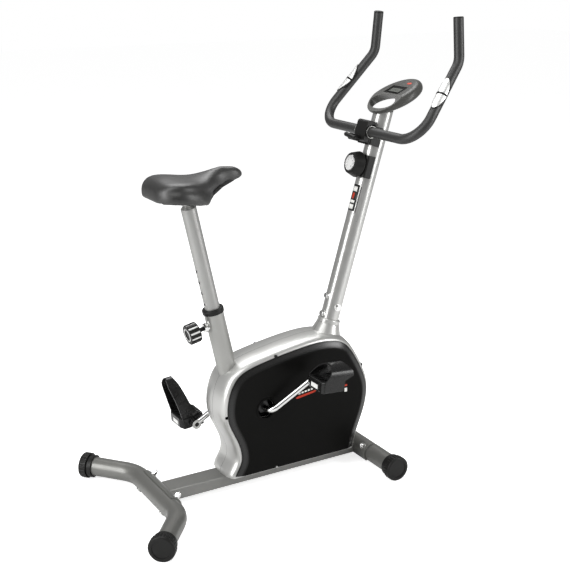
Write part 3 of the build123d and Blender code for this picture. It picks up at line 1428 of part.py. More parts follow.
def console_display():
    """Clear window over the display, in the recess."""
    height = -LCD_RECESS + LCD_T / 2
    return console_plane() * (Pos(LCD_V, 0, height) * Box(LCD_H - 0.2, LCD_W - 0.2, LCD_T))


def console_button():
    ring = extrude(Ellipse(BUTTON_B, BUTTON_A), amount=5.2)
    return console_plane() * (Pos(BUTTON_V, -BUTTON_U, -5.0) * ring)


# ================================================================ write every piece
PEDAL_SIDES = {
    "right": (-1, PEDAL_RIGHT_PITCH_DEG, STRAP_RIGHT_H, strap_right_outline()),
    "left": (1, PEDAL_LEFT_PITCH_DEG, STRAP_LEFT_H, strap_left_outline()),
}

pieces = {
    "base_beam": base_beam,
    "seat_tube": seat_tube,
    "bb_shell": bb_shell,
    "front_stub": front_stub,
    "axle_barrel": axle_barrel,
    "axle_bearings": axle_bearings,
    "magnet_pin": magnet_pin,
    "rear_bracket": lambda: foot_bracket(REAR_FOOT_X, 1),
    "front_bracket": lambda: foot_bracket(FRONT_FOOT_X, -1),
    "rear_stabilizer": rear_stabilizer,
    "front_stabilizer": front_stabilizer,
    "caps_rear": lambda: Compound(children=[end_cap(*rear_cap_face(side)) for side in (-1, 1)]),
    "caps_front": lambda: Compound(children=[end_cap(*front_cap_face(side)) for side in (-1, 1)]),
    "stabilizer_bolts": stabilizer_bolts,
    "stabilizer_nuts": stabilizer_nuts,
    "housing_left": housing_left,
    "housing_right": lambda: mirrored(housing_left()),
    "cover_left": cover_left,
    "cover_right": lambda: mirrored(cover_left()),
    "cover_screws": cover_screws,
    "mast": mast,
    "mast_foot_ring": mast_foot_ring,
    "mast_bolts": mast_bolts,
    "crank_cups": crank_cups,
    "drive_belt": drive_belt,
    "seat_collar": seat_collar,
    "knob_boss": knob_boss,
    "knob_base": knob_base,
    "bar_saddle": bar_saddle,
    "clamp_cap": clamp_cap,
    "console_base": console_base,
    "console_shell": console_shell,
    "console_display": console_display,
    "console_button": console_button,
    "clamp_knob": clamp_knob,
    "handlebar": handlebar,
    "grip_right": lambda: grip_sleeve(-1),
    "grip_left": lambda: grip_sleeve(1),
    "grip_plugs": grip_plugs,
    "pulse_holders": pulse_holders,
    "pulse_plates": pulse_plates,
    "tension_knob": tension_knob,
    "tension_dial": tension_dial,
    "seat_post": seat_post,
    "saddle_clamp": saddle_clamp,
    "saddle_base": saddle_base,
    "saddle_pad": saddle_pad,
    "adjust_knob": adjust_knob,
    "crank": crank,
    "crank_cones": crank_cones,
    "drive_pulley": drive_pulley,
    "flywheel": flywheel,
    "flywheel_axle": flywheel_axle,
    "magnet_bracket": magnet_bracket,
}

for side_name, (side, pitch, arch, outline) in PEDAL_SIDES.items():
    unit = pedal_unit(arch, outline)
    strap = strap_loop(arch, outline)
    pieces["pedal_" + side_name] = lambda shape=unit, s=side, p=pitch: placed_pedal(shape, s, p)
    pieces["strap_" + side_name] = lambda shape=strap, s=side, p=pitch: placed_pedal(shape, s, p)
    pieces["reflectors_" + side_name] = lambda s=side, p=pitch: placed_pedal(pedal_reflectors(), s, p)

for name, make in pieces.items():
    export_step(make(), "parts/" + name + ".step")
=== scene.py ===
import math

import bmesh
import bpy
from mathutils import Matrix, Vector


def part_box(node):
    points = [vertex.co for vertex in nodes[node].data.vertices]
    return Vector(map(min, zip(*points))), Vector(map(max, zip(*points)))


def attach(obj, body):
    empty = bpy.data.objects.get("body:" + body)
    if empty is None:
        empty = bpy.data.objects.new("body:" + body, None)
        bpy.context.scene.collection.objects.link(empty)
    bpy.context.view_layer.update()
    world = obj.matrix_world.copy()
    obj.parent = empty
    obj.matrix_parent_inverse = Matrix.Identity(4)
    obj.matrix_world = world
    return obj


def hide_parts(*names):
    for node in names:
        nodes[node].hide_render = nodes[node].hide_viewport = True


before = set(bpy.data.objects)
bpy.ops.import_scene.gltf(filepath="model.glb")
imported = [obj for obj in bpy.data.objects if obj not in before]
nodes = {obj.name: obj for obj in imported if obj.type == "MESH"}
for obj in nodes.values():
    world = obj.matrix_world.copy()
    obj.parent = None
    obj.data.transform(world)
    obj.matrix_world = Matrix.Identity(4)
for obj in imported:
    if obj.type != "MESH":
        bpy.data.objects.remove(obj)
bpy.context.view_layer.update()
MM = 0.001


# ---- Floor frame ---------------------------------------------------------------------------------
# Welded steel: a long beam on two cross tubes, with the seat tube, the bottom bracket and the
# stub that the mast slides over. Metallic grey powder is baked on, with a fine orange-peel skin.


class Wire:
    """A shader socket that takes part in sums: each operator adds the Math node that it needs."""

    def __init__(self, network, socket):
        self.network = network
        self.socket = socket

    def __add__(self, other):
        return self.network.math("ADD", self, other)

    def __sub__(self, other):
        return self.network.math("SUBTRACT", self, other)

    def __rsub__(self, other):
        return self.network.math("SUBTRACT", other, self)

    def __mul__(self, other):
        return self.network.math("MULTIPLY", self, other)

    def __gt__(self, other):
        return self.network.math("GREATER_THAN", self, other)

    def __lt__(self, other):
        return self.network.math("LESS_THAN", self, other)

    __radd__ = __add__
    __rmul__ = __mul__


class Network:
    """A shader tree, to which node() adds a node with its settings first and then its sockets."""

    def __init__(self, tree):
        self.tree = tree

    def plug(self, port, value):
        """Links a wire to a port, or sets the port's own value."""
        if isinstance(value, Wire):
            self.tree.links.new(value.socket, port)
        else:
            port.default_value = value

    def node(self, kind, inputs=None, output=0, **settings):
        node = self.tree.nodes.new("ShaderNode" + kind)
        for key, value in settings.items():
            setattr(node, key, value)
        for key, value in (inputs or {}).items():
            self.plug(node.inputs[key], value)
        return Wire(self, node.outputs[output])

    def math(self, operation, *values):
        return self.node("Math", dict(enumerate(values)), operation=operation)


class Finish(Network):
    """A material: constants sit on its shader, and methods add what changes over the surface."""

    def __init__(self, name, **constants):
        self.material = bpy.data.materials.new(name)
        self.material.use_nodes = True
        super().__init__(self.material.node_tree)
        self.shader = self.tree.nodes["Principled BSDF"]
        for key, value in constants.items():
            self.shader.inputs[key.replace("_", " ")].default_value = value

    def place(self):
        return self.node("TexCoord", output="Object")

    def axes(self):
        split = self.node("SeparateXYZ", {0: self.place()})
        return [Wire(self, port) for port in split.socket.node.outputs]

    def stretched(self, scale):
        """Object coordinates scaled differently along each axis, for grain that runs one way."""
        return self.node("Mapping", {"Vector": self.place(), "Scale": scale})

    def noise(self, scale, detail=2.0, vector=None):
        inputs = {"Vector": vector or self.place(), "Scale": scale, "Detail": detail}
        return self.node("TexNoise", inputs)

    def cells(self, scale):
        return self.node("TexVoronoi", {"Vector": self.place(), "Scale": scale})

    def axis_distance(self, point, direction):
        """How far the surface is from a line through a point."""
        offset = self.node("VectorMath", {0: self.place(), 1: point}, operation="SUBTRACT")
        across = self.node("VectorMath", {0: offset, 1: direction}, operation="CROSS_PRODUCT")
        return self.node("VectorMath", {0: across}, output="Value", operation="LENGTH")

    def feed(self, name, wire):
        self.plug(self.shader.inputs[name], wire)

    def colour(self, colour, shade):
        """Base colour, made darker or paler by a shade that changes over the surface."""
        inputs = {0: colour, "Scale": shade}
        self.feed("Base Color", self.node("VectorMath", inputs, operation="SCALE"))

    def roughen(self, middle, spread, scale):
        """Roughness that wanders around a middle value."""
        self.feed("Roughness", self.noise(scale) * spread + (middle - spread / 2))

    def bump(self, height, strength, depth_mm):
        inputs = {"Height": height, "Strength": strength, "Distance": depth_mm * MM}
        self.feed("Normal", self.node("Bump", inputs))


FLAKE_SCALE = 2400
CLOUD_SCALE = 11
ORANGE_PEEL_SCALE = 420
ORANGE_PEEL_STRENGTH = 0.10
ORANGE_PEEL_MM = 0.25


def steel_paint(name, colour, roughness, metal, coat):
    """Metallic powder coat: fine flakes, slow clouds and an orange-peel skin."""
    paint = Finish(name, Metallic=metal, Coat_Weight=coat, Coat_Roughness=0.12)
    flakes = paint.noise(FLAKE_SCALE, 1)
    clouds = paint.noise(CLOUD_SCALE, 3)
    paint.colour(colour, flakes * 0.22 + clouds * 0.14 + 0.82)
    paint.roughen(roughness, spread=0.12, scale=60)
    paint.bump(paint.noise(ORANGE_PEEL_SCALE), ORANGE_PEEL_STRENGTH, ORANGE_PEEL_MM)
    return paint.material


def dress(material, *names):
    """Gives a material to CAD nodes."""
    for name in names:
        for slot in nodes[name].material_slots:
            slot.material = material


FRAME_GREY = (0.165, 0.165, 0.155)
BEAM_GREY = (0.21, 0.21, 0.20)
SEAT_TUBE_GREY = (0.35, 0.35, 0.335)
dress(steel_paint("frame_grey_paint", FRAME_GREY, roughness=0.42, metal=0.55, coat=0.25),
      "rear_stabilizer", "front_stabilizer", "rear_bracket", "front_bracket",
      "bb_shell", "front_stub", "axle_barrel", "magnet_pin")
dress(steel_paint("beam_grey_paint", BEAM_GREY, roughness=0.40, metal=0.55, coat=0.25),
      "base_beam")
dress(steel_paint("seat_tube_grey_paint", SEAT_TUBE_GREY, roughness=0.38, metal=0.60, coat=0.25),
      "seat_tube")

# ---- Feet and their fixings ----------------------------------------------------------------------
# Moulded black caps with fluted rims close the cross tubes. Carriage bolts pass through each tube
# and end in domed, bright-plated nuts.


def moulded(name, colour, roughness, grain_mm, coat=0.0):
    """Moulded plastic with a spark-eroded grain of the given size and faint flow clouds."""
    plastic = Finish(name, Specular_IOR_Level=0.22, Coat_Weight=coat, Coat_Roughness=0.18)
    plastic.colour(colour, plastic.noise(14, 3) * 0.35 + 0.82)
    plastic.roughen(roughness, spread=0.14, scale=90)
    plastic.bump(plastic.cells(1000 / grain_mm), 0.07, 0.10)
    return plastic.material


def plated(name, colour, roughness, brushed=0.0):
    """Plated metal: a mirror-like skin with wipe marks, and fine lines where it is brushed."""
    metal = Finish(name, Metallic=1.0)
    marks = metal.noise(70, 4)
    lines = metal.noise(1.0, 2, metal.stretched((900, 60, 900)))
    metal.colour(colour, marks * 0.10 + 0.94)
    metal.feed("Roughness", marks * 0.10 + lines * brushed + (roughness - 0.05))
    metal.bump(lines, 0.03 + 0.2 * brushed, 0.05)
    return metal.material


cap_plastic = moulded("cap_black_plastic", (0.010, 0.010, 0.0095), roughness=0.40, grain_mm=0.55)
chrome = plated("bright_chrome", (0.80, 0.80, 0.79), roughness=0.09)
zinc = plated("zinc_plate", (0.52, 0.52, 0.50), roughness=0.30, brushed=0.15)
dress(cap_plastic, "caps_rear", "caps_front")
dress(chrome, "stabilizer_nuts")
dress(zinc, "stabilizer_bolts")

# ---- Housing and side covers ---------------------------------------------------------------------
# Two half shells in silver-painted plastic meet on a seam. A black cover with a broad bevel
# stands on each flank, in a satin lacquer, held by black pan-head screws.
SHELL_SILVER = (0.54, 0.54, 0.525)
SEAM_HALF = 0.5 * MM
shell_paint = Finish("housing_silver_paint", Metallic=0.70, Coat_Weight=0.35, Coat_Roughness=0.18)
shell_seam = shell_paint.math("ABSOLUTE", shell_paint.axes()[1]) < SEAM_HALF
shell_shade = shell_paint.noise(2800, 1) * 0.16 + shell_paint.noise(9, 3) * 0.10 + 0.87
shell_paint.colour(SHELL_SILVER, shell_shade * (1 - shell_seam * 0.8))
shell_paint.roughen(0.36, spread=0.10, scale=50)
shell_paint.bump(shell_paint.noise(260), 0.06, 0.20)
dress(shell_paint.material, "housing_left", "housing_right")

# The bevel lies between two distances from the bike's middle plane. The lacquer pools there to a
# brighter band, with a rounded edge.
COVER_BLACK = (0.0042, 0.0042, 0.0038)
BEVEL_LOW = 57.0 * MM
BEVEL_HIGH = 64.6 * MM
BEVEL_CROWN_MM = 2.5
cover_lacquer = Finish("cover_black_lacquer", Specular_IOR_Level=0.06, Coat_Roughness=0.24)
cover_reach = cover_lacquer.math("ABSOLUTE", cover_lacquer.axes()[1])
across_bevel = cover_lacquer.node("MapRange", {0: cover_reach, 1: BEVEL_LOW, 2: BEVEL_HIGH})
bevel_round = across_bevel * (1 - across_bevel) * 4
cover_lacquer.colour(COVER_BLACK, cover_lacquer.noise(12, 3) * 0.5 + 0.75)
cover_lacquer.feed("Coat Weight", bevel_round)
cover_lacquer.roughen(0.36, spread=0.12, scale=70)
cover_lacquer.bump(bevel_round + cover_lacquer.cells(1500) * 0.01, 1.0, BEVEL_CROWN_MM)
dress(cover_lacquer.material, "cover_left", "cover_right")
dress(moulded("screw_black", (0.015, 0.015, 0.015), roughness=0.38, grain_mm=0.4), "cover_screws")

# ---- Mast ----------------------------------------------------------------------------------------
# A leaning steel tube in bright silver paint, bolted over the frame's stub. A printed band of
# plain blocks and a thin stripe face the rider, and a plastic ring finishes the tube's foot.
mast_paint = steel_paint("mast_silver_paint", (0.55, 0.55, 0.535),
                         roughness=0.30, metal=0.80, coat=0.35)
dress(mast_paint, "mast")
dress(shell_paint.material, "mast_foot_ring")
dress(chrome, "mast_bolts")

MAST_LEAN = math.radians(16.45)
MAST_FOOT = Vector((63.1, 0, 0)) * MM
MAST_UP = Vector((math.sin(MAST_LEAN), 0, math.cos(MAST_LEAN)))
RIDER_WAY = Vector((-math.cos(MAST_LEAN), 0, math.sin(MAST_LEAN)))
MAST_R = 25.0 * MM


def mast_at(z_mm):
    """Point on the mast's axis at a height."""
    return MAST_FOOT + MAST_UP * (z_mm * MM / math.cos(MAST_LEAN))


def placed(origin, x_dir, z_dir):
    """Matrix that carries local x and z to two directions at a point."""
    y_dir = z_dir.cross(x_dir).normalized()
    turn = Matrix((x_dir.normalized(), y_dir, z_dir.normalized())).transposed()
    return Matrix.Translation(origin) @ turn.to_4x4()


def added(name, data):
    """Puts a new object into the scene."""
    made = bpy.data.objects.new(name, data)
    bpy.context.collection.objects.link(made)
    return made


def piece(mesh, material, body):
    """Makes an object of a finished mesh, under its name, and lets it ride on a body."""
    mesh.materials.clear()
    mesh.materials.append(material)
    made = added(mesh.name, mesh)
    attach(made, body)


def from_bmesh(name, shape, smooth=False):
    bmesh.ops.recalc_face_normals(shape, faces=shape.faces)
    mesh = bpy.data.meshes.new(name)
    shape.to_mesh(mesh)
    shape.free()
    if smooth:
        mesh.shade_smooth()
    else:
        mesh.shade_flat()
    return mesh


def wrapped_panel(name, place, radius, half_angle, length, thick, centre_angle=0.0):
    """Thin closed panel bent around the local z axis, facing local x, from z = 0 to length."""
    shape = bmesh.new()
    steps = max(3, int(half_angle / math.radians(5)) * 2)
    corners = []
    for i in range(steps + 1):
        angle = centre_angle - half_angle + 2 * half_angle * i / steps
        way = Vector((math.cos(angle), math.sin(angle), 0))
        column = [way * radius, way * (radius + thick)]
        corners.append([shape.verts.new(point + Vector((0, 0, z)))
                        for point in column for z in (0, length)])
    for near, far in zip(corners, corners[1:]):
        for a, b in ((0, 1), (1, 3), (3, 2), (2, 0)):
            shape.faces.new((near[a], near[b], far[b], far[a]))
    for end in (corners[0], corners[-1]):
        shape.faces.new((end[0], end[1], end[3], end[2]))
    shape.transform(place)
    return from_bmesh(name, shape, smooth=True)


def print_ink(name, colour, roughness=0.4):
    """Screen-printed ink: an even colour with faint wear and a fine screen texture."""
    ink = Finish(name, Specular_IOR_Level=0.25)
    ink.colour(colour, ink.noise(160, 4) * 0.18 + 0.90)
    ink.roughen(roughness, spread=0.10, scale=500)
    return ink.material


label_ink = print_ink("label_black", (0.02, 0.02, 0.02))
white_ink = print_ink("ink_white", (0.78, 0.78, 0.75))
red_ink = print_ink("ink_red", (0.44, 0.028, 0.008))
LABEL_LOW_Z = 695.0
LABEL_LENGTH = 70.0 * MM
LABEL_HALF_ANGLE = math.radians(33)
FILM_SINK = 0.05 * MM
FILM_THICK = 0.2 * MM
BLOCK_THICK = 0.25 * MM
label_low = mast_at(LABEL_LOW_Z)
label = wrapped_panel("mast_label", placed(label_low, RIDER_WAY, MAST_UP), MAST_R - FILM_SINK,
                      LABEL_HALF_ANGLE, LABEL_LENGTH, FILM_THICK)
piece(label, label_ink, "frame")

# Each block: where it starts and how long it is, as shares of the label's length, then its share
# of the label's width and its ink.
LABEL_BLOCKS = ((0.07, 0.17, 0.62, white_ink), (0.30, 0.10, 0.62, white_ink),
                (0.46, 0.22, 0.30, red_ink), (0.74, 0.18, 0.62, white_ink))
for number, (start, share, width, ink) in enumerate(LABEL_BLOCKS):
    block_place = placed(label_low + MAST_UP * LABEL_LENGTH * start, RIDER_WAY, MAST_UP)
    block = wrapped_panel(f"mast_label_block_{number}", block_place, MAST_R,
                          LABEL_HALF_ANGLE * width, LABEL_LENGTH * share, BLOCK_THICK)
    piece(block, ink, "frame")

STRIPE_ANGLE = math.radians(42)
STRIPE_HALF_ANGLE = math.radians(2.4)
STRIPE_DROP = 4 * MM
stripe_place = placed(label_low - MAST_UP * STRIPE_DROP, RIDER_WAY, MAST_UP)
stripe = wrapped_panel("mast_label_stripe", stripe_place, MAST_R - FILM_SINK,
                       STRIPE_HALF_ANGLE, LABEL_LENGTH, FILM_THICK, STRIPE_ANGLE)
piece(stripe, label_ink, "frame")

# ---- Cover badge ---------------------------------------------------------------------------------
# Each cover carries a slanted red wedge under a row of pale dashes, and a small two-tone square,
# all printed in ink that stands a hair above the lacquer.


def marks_tree():
    """Bars set out on an arc, along a pitch, or both: one tree for every row of small marks."""
    tree = bpy.data.node_groups.new("row_of_marks", "GeometryNodeTree")
    for name, kind in (("Count", "Int"), ("Radius", "Float"), ("First Angle", "Float"),
                       ("Angle Step", "Float"), ("Pitch", "Vector"), ("Bar Size", "Vector"),
                       ("Bar Turn", "Float"), ("Material", "Material")):
        tree.interface.new_socket(name=name, in_out="INPUT", socket_type="NodeSocket" + kind)
    tree.interface.new_socket(name="Geometry", in_out="OUTPUT", socket_type="NodeSocketGeometry")
    given = tree.nodes.new("NodeGroupInput").outputs

    def step(kind, inputs, output=0, **settings):
        node = tree.nodes.new(kind)
        for key, value in settings.items():
            setattr(node, key, value)
        for key, value in inputs.items():
            if isinstance(value, bpy.types.NodeSocket):
                tree.links.new(value, node.inputs[key])
            else:
                node.inputs[key].default_value = value
        return node.outputs[output]

    def maths(operation, first, second=0.0):
        return step("ShaderNodeMath", {0: first, 1: second}, operation=operation)

    index = step("GeometryNodeInputIndex", {})
    angle = maths("ADD", maths("MULTIPLY", index, given["Angle Step"]), given["First Angle"])
    reach_x = maths("MULTIPLY", maths("COSINE", angle), given["Radius"])
    reach_y = maths("MULTIPLY", maths("SINE", angle), given["Radius"])
    on_arc = step("ShaderNodeCombineXYZ", {0: reach_x, 1: reach_y})
    along = step("ShaderNodeVectorMath", {0: given["Pitch"], "Scale": index}, operation="SCALE")
    spot = step("ShaderNodeVectorMath", {0: on_arc, 1: along}, operation="ADD")
    points = step("GeometryNodePoints", {"Count": given["Count"], "Position": spot})
    bar = step("GeometryNodeMeshCube", {"Size": given["Bar Size"]})
    turn = step("ShaderNodeCombineXYZ", {2: maths("ADD", angle, given["Bar Turn"])})
    set_out = step("GeometryNodeInstanceOnPoints",
                   {"Points": points, "Instance": bar, "Rotation": turn})
    solid = step("GeometryNodeRealizeInstances", {0: set_out})
    inked = step("GeometryNodeSetMaterial", {"Geometry": solid, "Material": given["Material"]})
    tree.links.new(inked, tree.nodes.new("NodeGroupOutput").inputs[0])
    return tree


MARKS = marks_tree()


def marks(name, place, material, body, slot, **values):
    """A row of marks made by the tree, turned into a plain mesh at its place."""
    seed = added(name + "_seed", bpy.data.meshes.new(name + "_seed"))
    modifier = seed.modifiers.new("marks", "NODES")
    modifier.node_group = MARKS
    values = {"Count": 1, "Radius": 0.0, "First_Angle": 0.0, "Angle_Step": 0.0,
              "Pitch": (0.0, 0.0, 0.0), "Bar_Turn": 0.0, "Material": material, **values}
    for item in MARKS.interface.items_tree:
        key = item.name.replace(" ", "_")
        if item.in_out == "INPUT" and key in values:
            modifier[item.identifier] = values[key]
    bpy.context.view_layer.update()
    graph = bpy.context.evaluated_depsgraph_get()
    mesh = bpy.data.meshes.new_from_object(seed.evaluated_get(graph))
    bpy.data.objects.remove(seed)
    mesh.name = name
    mesh.transform(place)
    piece(mesh, material, body)


def plate(name, outline, place, thick):
    """Flat closed plate: an outline in local x and y, from z = 0 to thick."""
    shape = bmesh.new()
    low = [shape.verts.new((x, y, 0)) for x, y in outline]
    high = [shape.verts.new((x, y, thick)) for x, y in outline]
    shape.faces.new(low)
    shape.faces.new(high)
    for i in range(len(outline)):
        j = (i + 1) % len(outline)
        shape.faces.new((low[i], low[j], high[j], high[i]))
    shape.transform(place)
    return from_bmesh(name, shape)


COVER_FACE_Y = 65.0 * MM
BADGE_AT = (42.0, 238.0)
BADGE_WEDGE = ((0.0, 0.0), (8.0, 4.0), (70.0, 12.0), (58.0, 5.0), (6.0, -3.0))
WEDGE_THICK = 0.15 * MM
MARK_THICK = 0.3 * MM
DASHES = 6
DASH_SIZE = (6.2 * MM, 4.6 * MM, MARK_THICK)
DASH_PITCH = 9.5 * MM
DASH_RISE = 1.3 * MM
DASH_TURN = 0.12
DASHES_FROM_BADGE = Vector((12, 0, 11)) * MM
SQUARE_FROM_BADGE = Vector((157, 0, -9)) * MM
SQUARE_SIZE = (8 * MM, 11 * MM, MARK_THICK)
SPOT_FROM_BADGE = Vector((157, 0, 4)) * MM
SPOT_SIZE = (8 * MM, 5 * MM, MARK_THICK)
for side, side_name in ((-1, "right"), (1, "left")):
    away = Vector((0, side, 0))
    ahead = Vector((-side, 0, 0))
    flip = -side
    badge = Vector((BADGE_AT[0] * MM, side * COVER_FACE_Y, BADGE_AT[1] * MM))
    wedge = [(flip * x * MM, z * MM) for x, z in BADGE_WEDGE]
    wedge_mesh = plate(f"cover_badge_{side_name}", wedge, placed(badge, ahead, away), WEDGE_THICK)
    piece(wedge_mesh, red_ink, "frame")
    marks(f"cover_badge_dashes_{side_name}", placed(badge + DASHES_FROM_BADGE, ahead, away),
          white_ink, "frame", "cover_black", Count=DASHES, Bar_Size=DASH_SIZE,
          Pitch=(flip * DASH_PITCH, DASH_RISE, 0.0), Bar_Turn=DASH_TURN * flip)
    marks(f"cover_square_{side_name}", placed(badge + SQUARE_FROM_BADGE, ahead, away),
          white_ink, "frame", "cover_black", Bar_Size=SQUARE_SIZE)
    marks(f"cover_spot_{side_name}", placed(badge + SPOT_FROM_BADGE, ahead, away),
          red_ink, "frame", "cover_black", Bar_Size=SPOT_SIZE)

# ---- Saddle post ---------------------------------------------------------------------------------
# A matt silver steel tube with a row of punched holes and a necked top; inside its bore the paint
# is darkened almost to black as painted shade. A plastic collar guides it in the seat tube, and a
# sprung pin with a fluted knob holds its height.
SEAT_LEAN = math.radians(12.6)
SEAT_FOOT = Vector((-48.6, 0, 0)) * MM
SEAT_UP = Vector((-math.sin(SEAT_LEAN), 0, math.cos(SEAT_LEAN)))
POST_SILVER = (0.37, 0.37, 0.36)
POST_BORE_R = 18.0 * MM
POST_BORE_TOP = 755.0 * MM
BORE_PAINTED_SHADE = 0.97
post_paint = Finish("post_silver_paint", Metallic=0.70, Coat_Weight=0.10, Coat_Roughness=0.3)
# Painted shade: inside the bore, below its top, the paint's colour is darkened almost to black to
# stand for the shade in the tube.
near_axis = post_paint.axis_distance(SEAT_FOOT, SEAT_UP) < POST_BORE_R
bore_painted_shade = near_axis * (post_paint.axes()[2] < POST_BORE_TOP)
post_flakes = post_paint.noise(FLAKE_SCALE, 1)
post_clouds = post_paint.noise(CLOUD_SCALE, 3)
post_shade = post_flakes * 0.20 + post_clouds * 0.14 + 0.83
post_paint.colour(POST_SILVER, post_shade * (1 - bore_painted_shade * BORE_PAINTED_SHADE))
post_paint.roughen(0.47, spread=0.10, scale=60)
post_paint.bump(post_paint.noise(ORANGE_PEEL_SCALE), ORANGE_PEEL_STRENGTH, ORANGE_PEEL_MM)
dress(post_paint.material, "seat_post")
dress(mast_paint, "saddle_clamp")
dress(cap_plastic, "seat_collar", "adjust_knob", "saddle_base")
dress(chrome, "knob_boss")

# ---- Saddle --------------------------------------------------------------------------------------
# Foam moulded in one smooth skin of black vinyl: a broad rolled rear, a soft hollow along each
# flank under the roll, and a narrow raised nose.
vinyl = Finish("saddle_vinyl", Specular_IOR_Level=0.55, Coat_Weight=0.45, Coat_Roughness=0.46)
vinyl.colour((0.0095, 0.0093, 0.0086), vinyl.noise(18, 3) * 0.4 + 0.8)
vinyl.roughen(0.44, spread=0.08, scale=120)
vinyl.bump(vinyl.cells(1500), 0.14, 0.10)

SADDLE_VOXEL = 4.0 * MM
WELD_REACH = 0.02 * MM
FOAM_PRESSURE = 4.0
SKIN_STIFFNESS = 40.0
SWELL_CAP = 1.5 * MM
SIM_FRAMES = 20


def apply(thing, kind, **settings):
    """Adds a modifier, and replaces the mesh by its result."""
    modifier = thing.modifiers.new(kind.lower(), kind)
    for key, value in settings.items():
        setattr(modifier, key, value)
    graph = bpy.context.evaluated_depsgraph_get()
    result = bpy.data.meshes.new_from_object(thing.evaluated_get(graph))
    thing.modifiers.clear()
    thing.data = result


def saddle_core():
    """The pad's solid as one even mesh, a little undersize, ready to swell."""
    shape = bmesh.new()
    shape.from_mesh(nodes["saddle_pad"].data)
    bmesh.ops.remove_doubles(shape, verts=shape.verts, dist=WELD_REACH)
    mesh = bpy.data.meshes.new("saddle_cover")
    shape.to_mesh(mesh)
    shape.free()
    core = added("saddle_cover", mesh)
    apply(core, "REMESH", mode="VOXEL", voxel_size=SADDLE_VOXEL, use_smooth_shade=True)
    apply(core, "SMOOTH", factor=0.5, iterations=6)
    return core


def swell(thing):
    """Lets air pressure round the foam, and caps how far any point may move."""
    before = [vertex.co.copy() for vertex in thing.data.vertices]
    cloth = thing.modifiers.new("cloth", "CLOTH")
    cloth.settings.use_pressure = True
    cloth.settings.uniform_pressure_force = FOAM_PRESSURE
    cloth.settings.tension_stiffness = SKIN_STIFFNESS
    cloth.settings.compression_stiffness = SKIN_STIFFNESS
    cloth.settings.effector_weights.gravity = 0.0
    for number in range(1, SIM_FRAMES + 1):
        bpy.context.scene.frame_set(number)
    graph = bpy.context.evaluated_depsgraph_get()
    after = [vertex.co.copy() for vertex in thing.evaluated_get(graph).data.vertices]
    thing.modifiers.clear()
    bpy.context.scene.frame_set(1)
    for vertex, old, new in zip(thing.data.vertices, before, after):
        move = new - old
        if move.length > SWELL_CAP:
            move *= SWELL_CAP / move.length
        vertex.co = old + move


# The flank's hollow. Stations run from 0 at the saddle's rear to 1 at the tip of its nose, and
# heights from 0 at the rim to 1 at the crown, as the two are measured there.
HOLLOW_DEPTH = 8.0 * MM
HOLLOW_BAND = 0.23
HOLLOW_REAR_HEIGHT = 0.73
HOLLOW_DROP = 0.55
HOLLOW_DROPS = (0.38, 0.66)
HOLLOW_GROWS = (0.02, 0.15)
HOLLOW_FADES = (0.54, 0.70)
STATIONS = 30
EVENING_ROUNDS = 8
KEEL_HALF = 12.0 * MM
LEAST_HEIGHT = 10.0 * MM


def smooth_step(limits, value):
    low, high = limits
    t = min(max((value - low) / (high - low), 0.0), 1.0)
    return t * t * (3 - 2 * t)


def evened(row):
    """Evens out a row of heights by repeated averages of three neighbours."""
    for _ in range(EVENING_ROUNDS):
        middle = [(a + b + c) / 3 for a, b, c in zip(row, row[1:], row[2:])]
        row = [row[0], *middle, row[-1]]
    return row


def between_stations(row, place):
    """A row's value at a place that lies between two stations."""
    i = int(place)
    return row[i] + (row[i + 1] - row[i]) * (place - i)


def hollow_flanks(thing):
    """Presses a soft valley into each flank between the rolled top and the fuller skirt."""
    low, high = (Vector(corner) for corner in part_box("saddle_pad"))
    span = high.x - low.x
    crowns = [low.z] * (STATIONS + 1)
    rims = [high.z] * (STATIONS + 1)
    for vertex in thing.data.vertices:
        i = round((vertex.co.x - low.x) / span * STATIONS)
        i = min(max(i, 0), STATIONS)
        crowns[i] = max(crowns[i], vertex.co.z)
        if abs(vertex.co.y) > KEEL_HALF:
            rims[i] = min(rims[i], vertex.co.z)
    crowns = evened(crowns)
    rims = evened(rims)
    normals = [vertex.normal.copy() for vertex in thing.data.vertices]
    for vertex, normal in zip(thing.data.vertices, normals):
        along = (vertex.co.x - low.x) / span
        place = min(max(along * STATIONS, 0.0), STATIONS - 0.001)
        crown = between_stations(crowns, place)
        rim = between_stations(rims, place)
        height = (vertex.co.z - rim) / max(crown - rim, LEAST_HEIGHT)
        centre = HOLLOW_REAR_HEIGHT - HOLLOW_DROP * smooth_step(HOLLOW_DROPS, along)
        strength = smooth_step(HOLLOW_GROWS, along) * (1 - smooth_step(HOLLOW_FADES, along))
        valley = math.exp(-((height - centre) / HOLLOW_BAND) ** 2) * strength
        upright = 1 - min(abs(normal.z), 1.0) ** 2
        vertex.co -= normal * (HOLLOW_DEPTH * valley * upright)


saddle = saddle_core()
swell(saddle)
hollow_flanks(saddle)
apply(saddle, "SMOOTH", factor=0.5, iterations=10)
apply(saddle, "SUBSURF", levels=1, render_levels=1)
saddle.data.shade_smooth()
saddle.data.name = "saddle_cover"
saddle.data.materials.clear()
saddle.data.materials.append(vinyl.material)
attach(saddle, "saddle")
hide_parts("saddle_pad")

# ---- Bar, grips and pulse plates -----------------------------------------------------------------
# One bent steel tube, painted black, inside two long foam sleeves. Plastic holders on the sleeves
# carry two pairs of satin steel plates, and a black clamp holds the bar on the mast.
foam = Finish("grip_foam", Specular_IOR_Level=0.58)
foam.colour((0.017, 0.017, 0.0165), foam.noise(700) * 0.7 + 0.65)
foam.roughen(0.46, spread=0.12, scale=200)
foam.bump(foam.noise(1500, 3), 0.16, 0.20)
dress(foam.material, "grip_right", "grip_left")
dress(steel_paint("bar_black_paint", (0.02, 0.02, 0.02), roughness=0.35, metal=0.0, coat=0.3),
      "handlebar")
dress(cap_plastic, "grip_plugs", "pulse_holders", "bar_saddle", "clamp_cap", "clamp_knob",
      "tension_knob", "knob_base")
plate_satin = plated("pulse_plate_satin", (0.86, 0.86, 0.85), roughness=0.42, brushed=0.10)
dress(plate_satin, "pulse_plates")

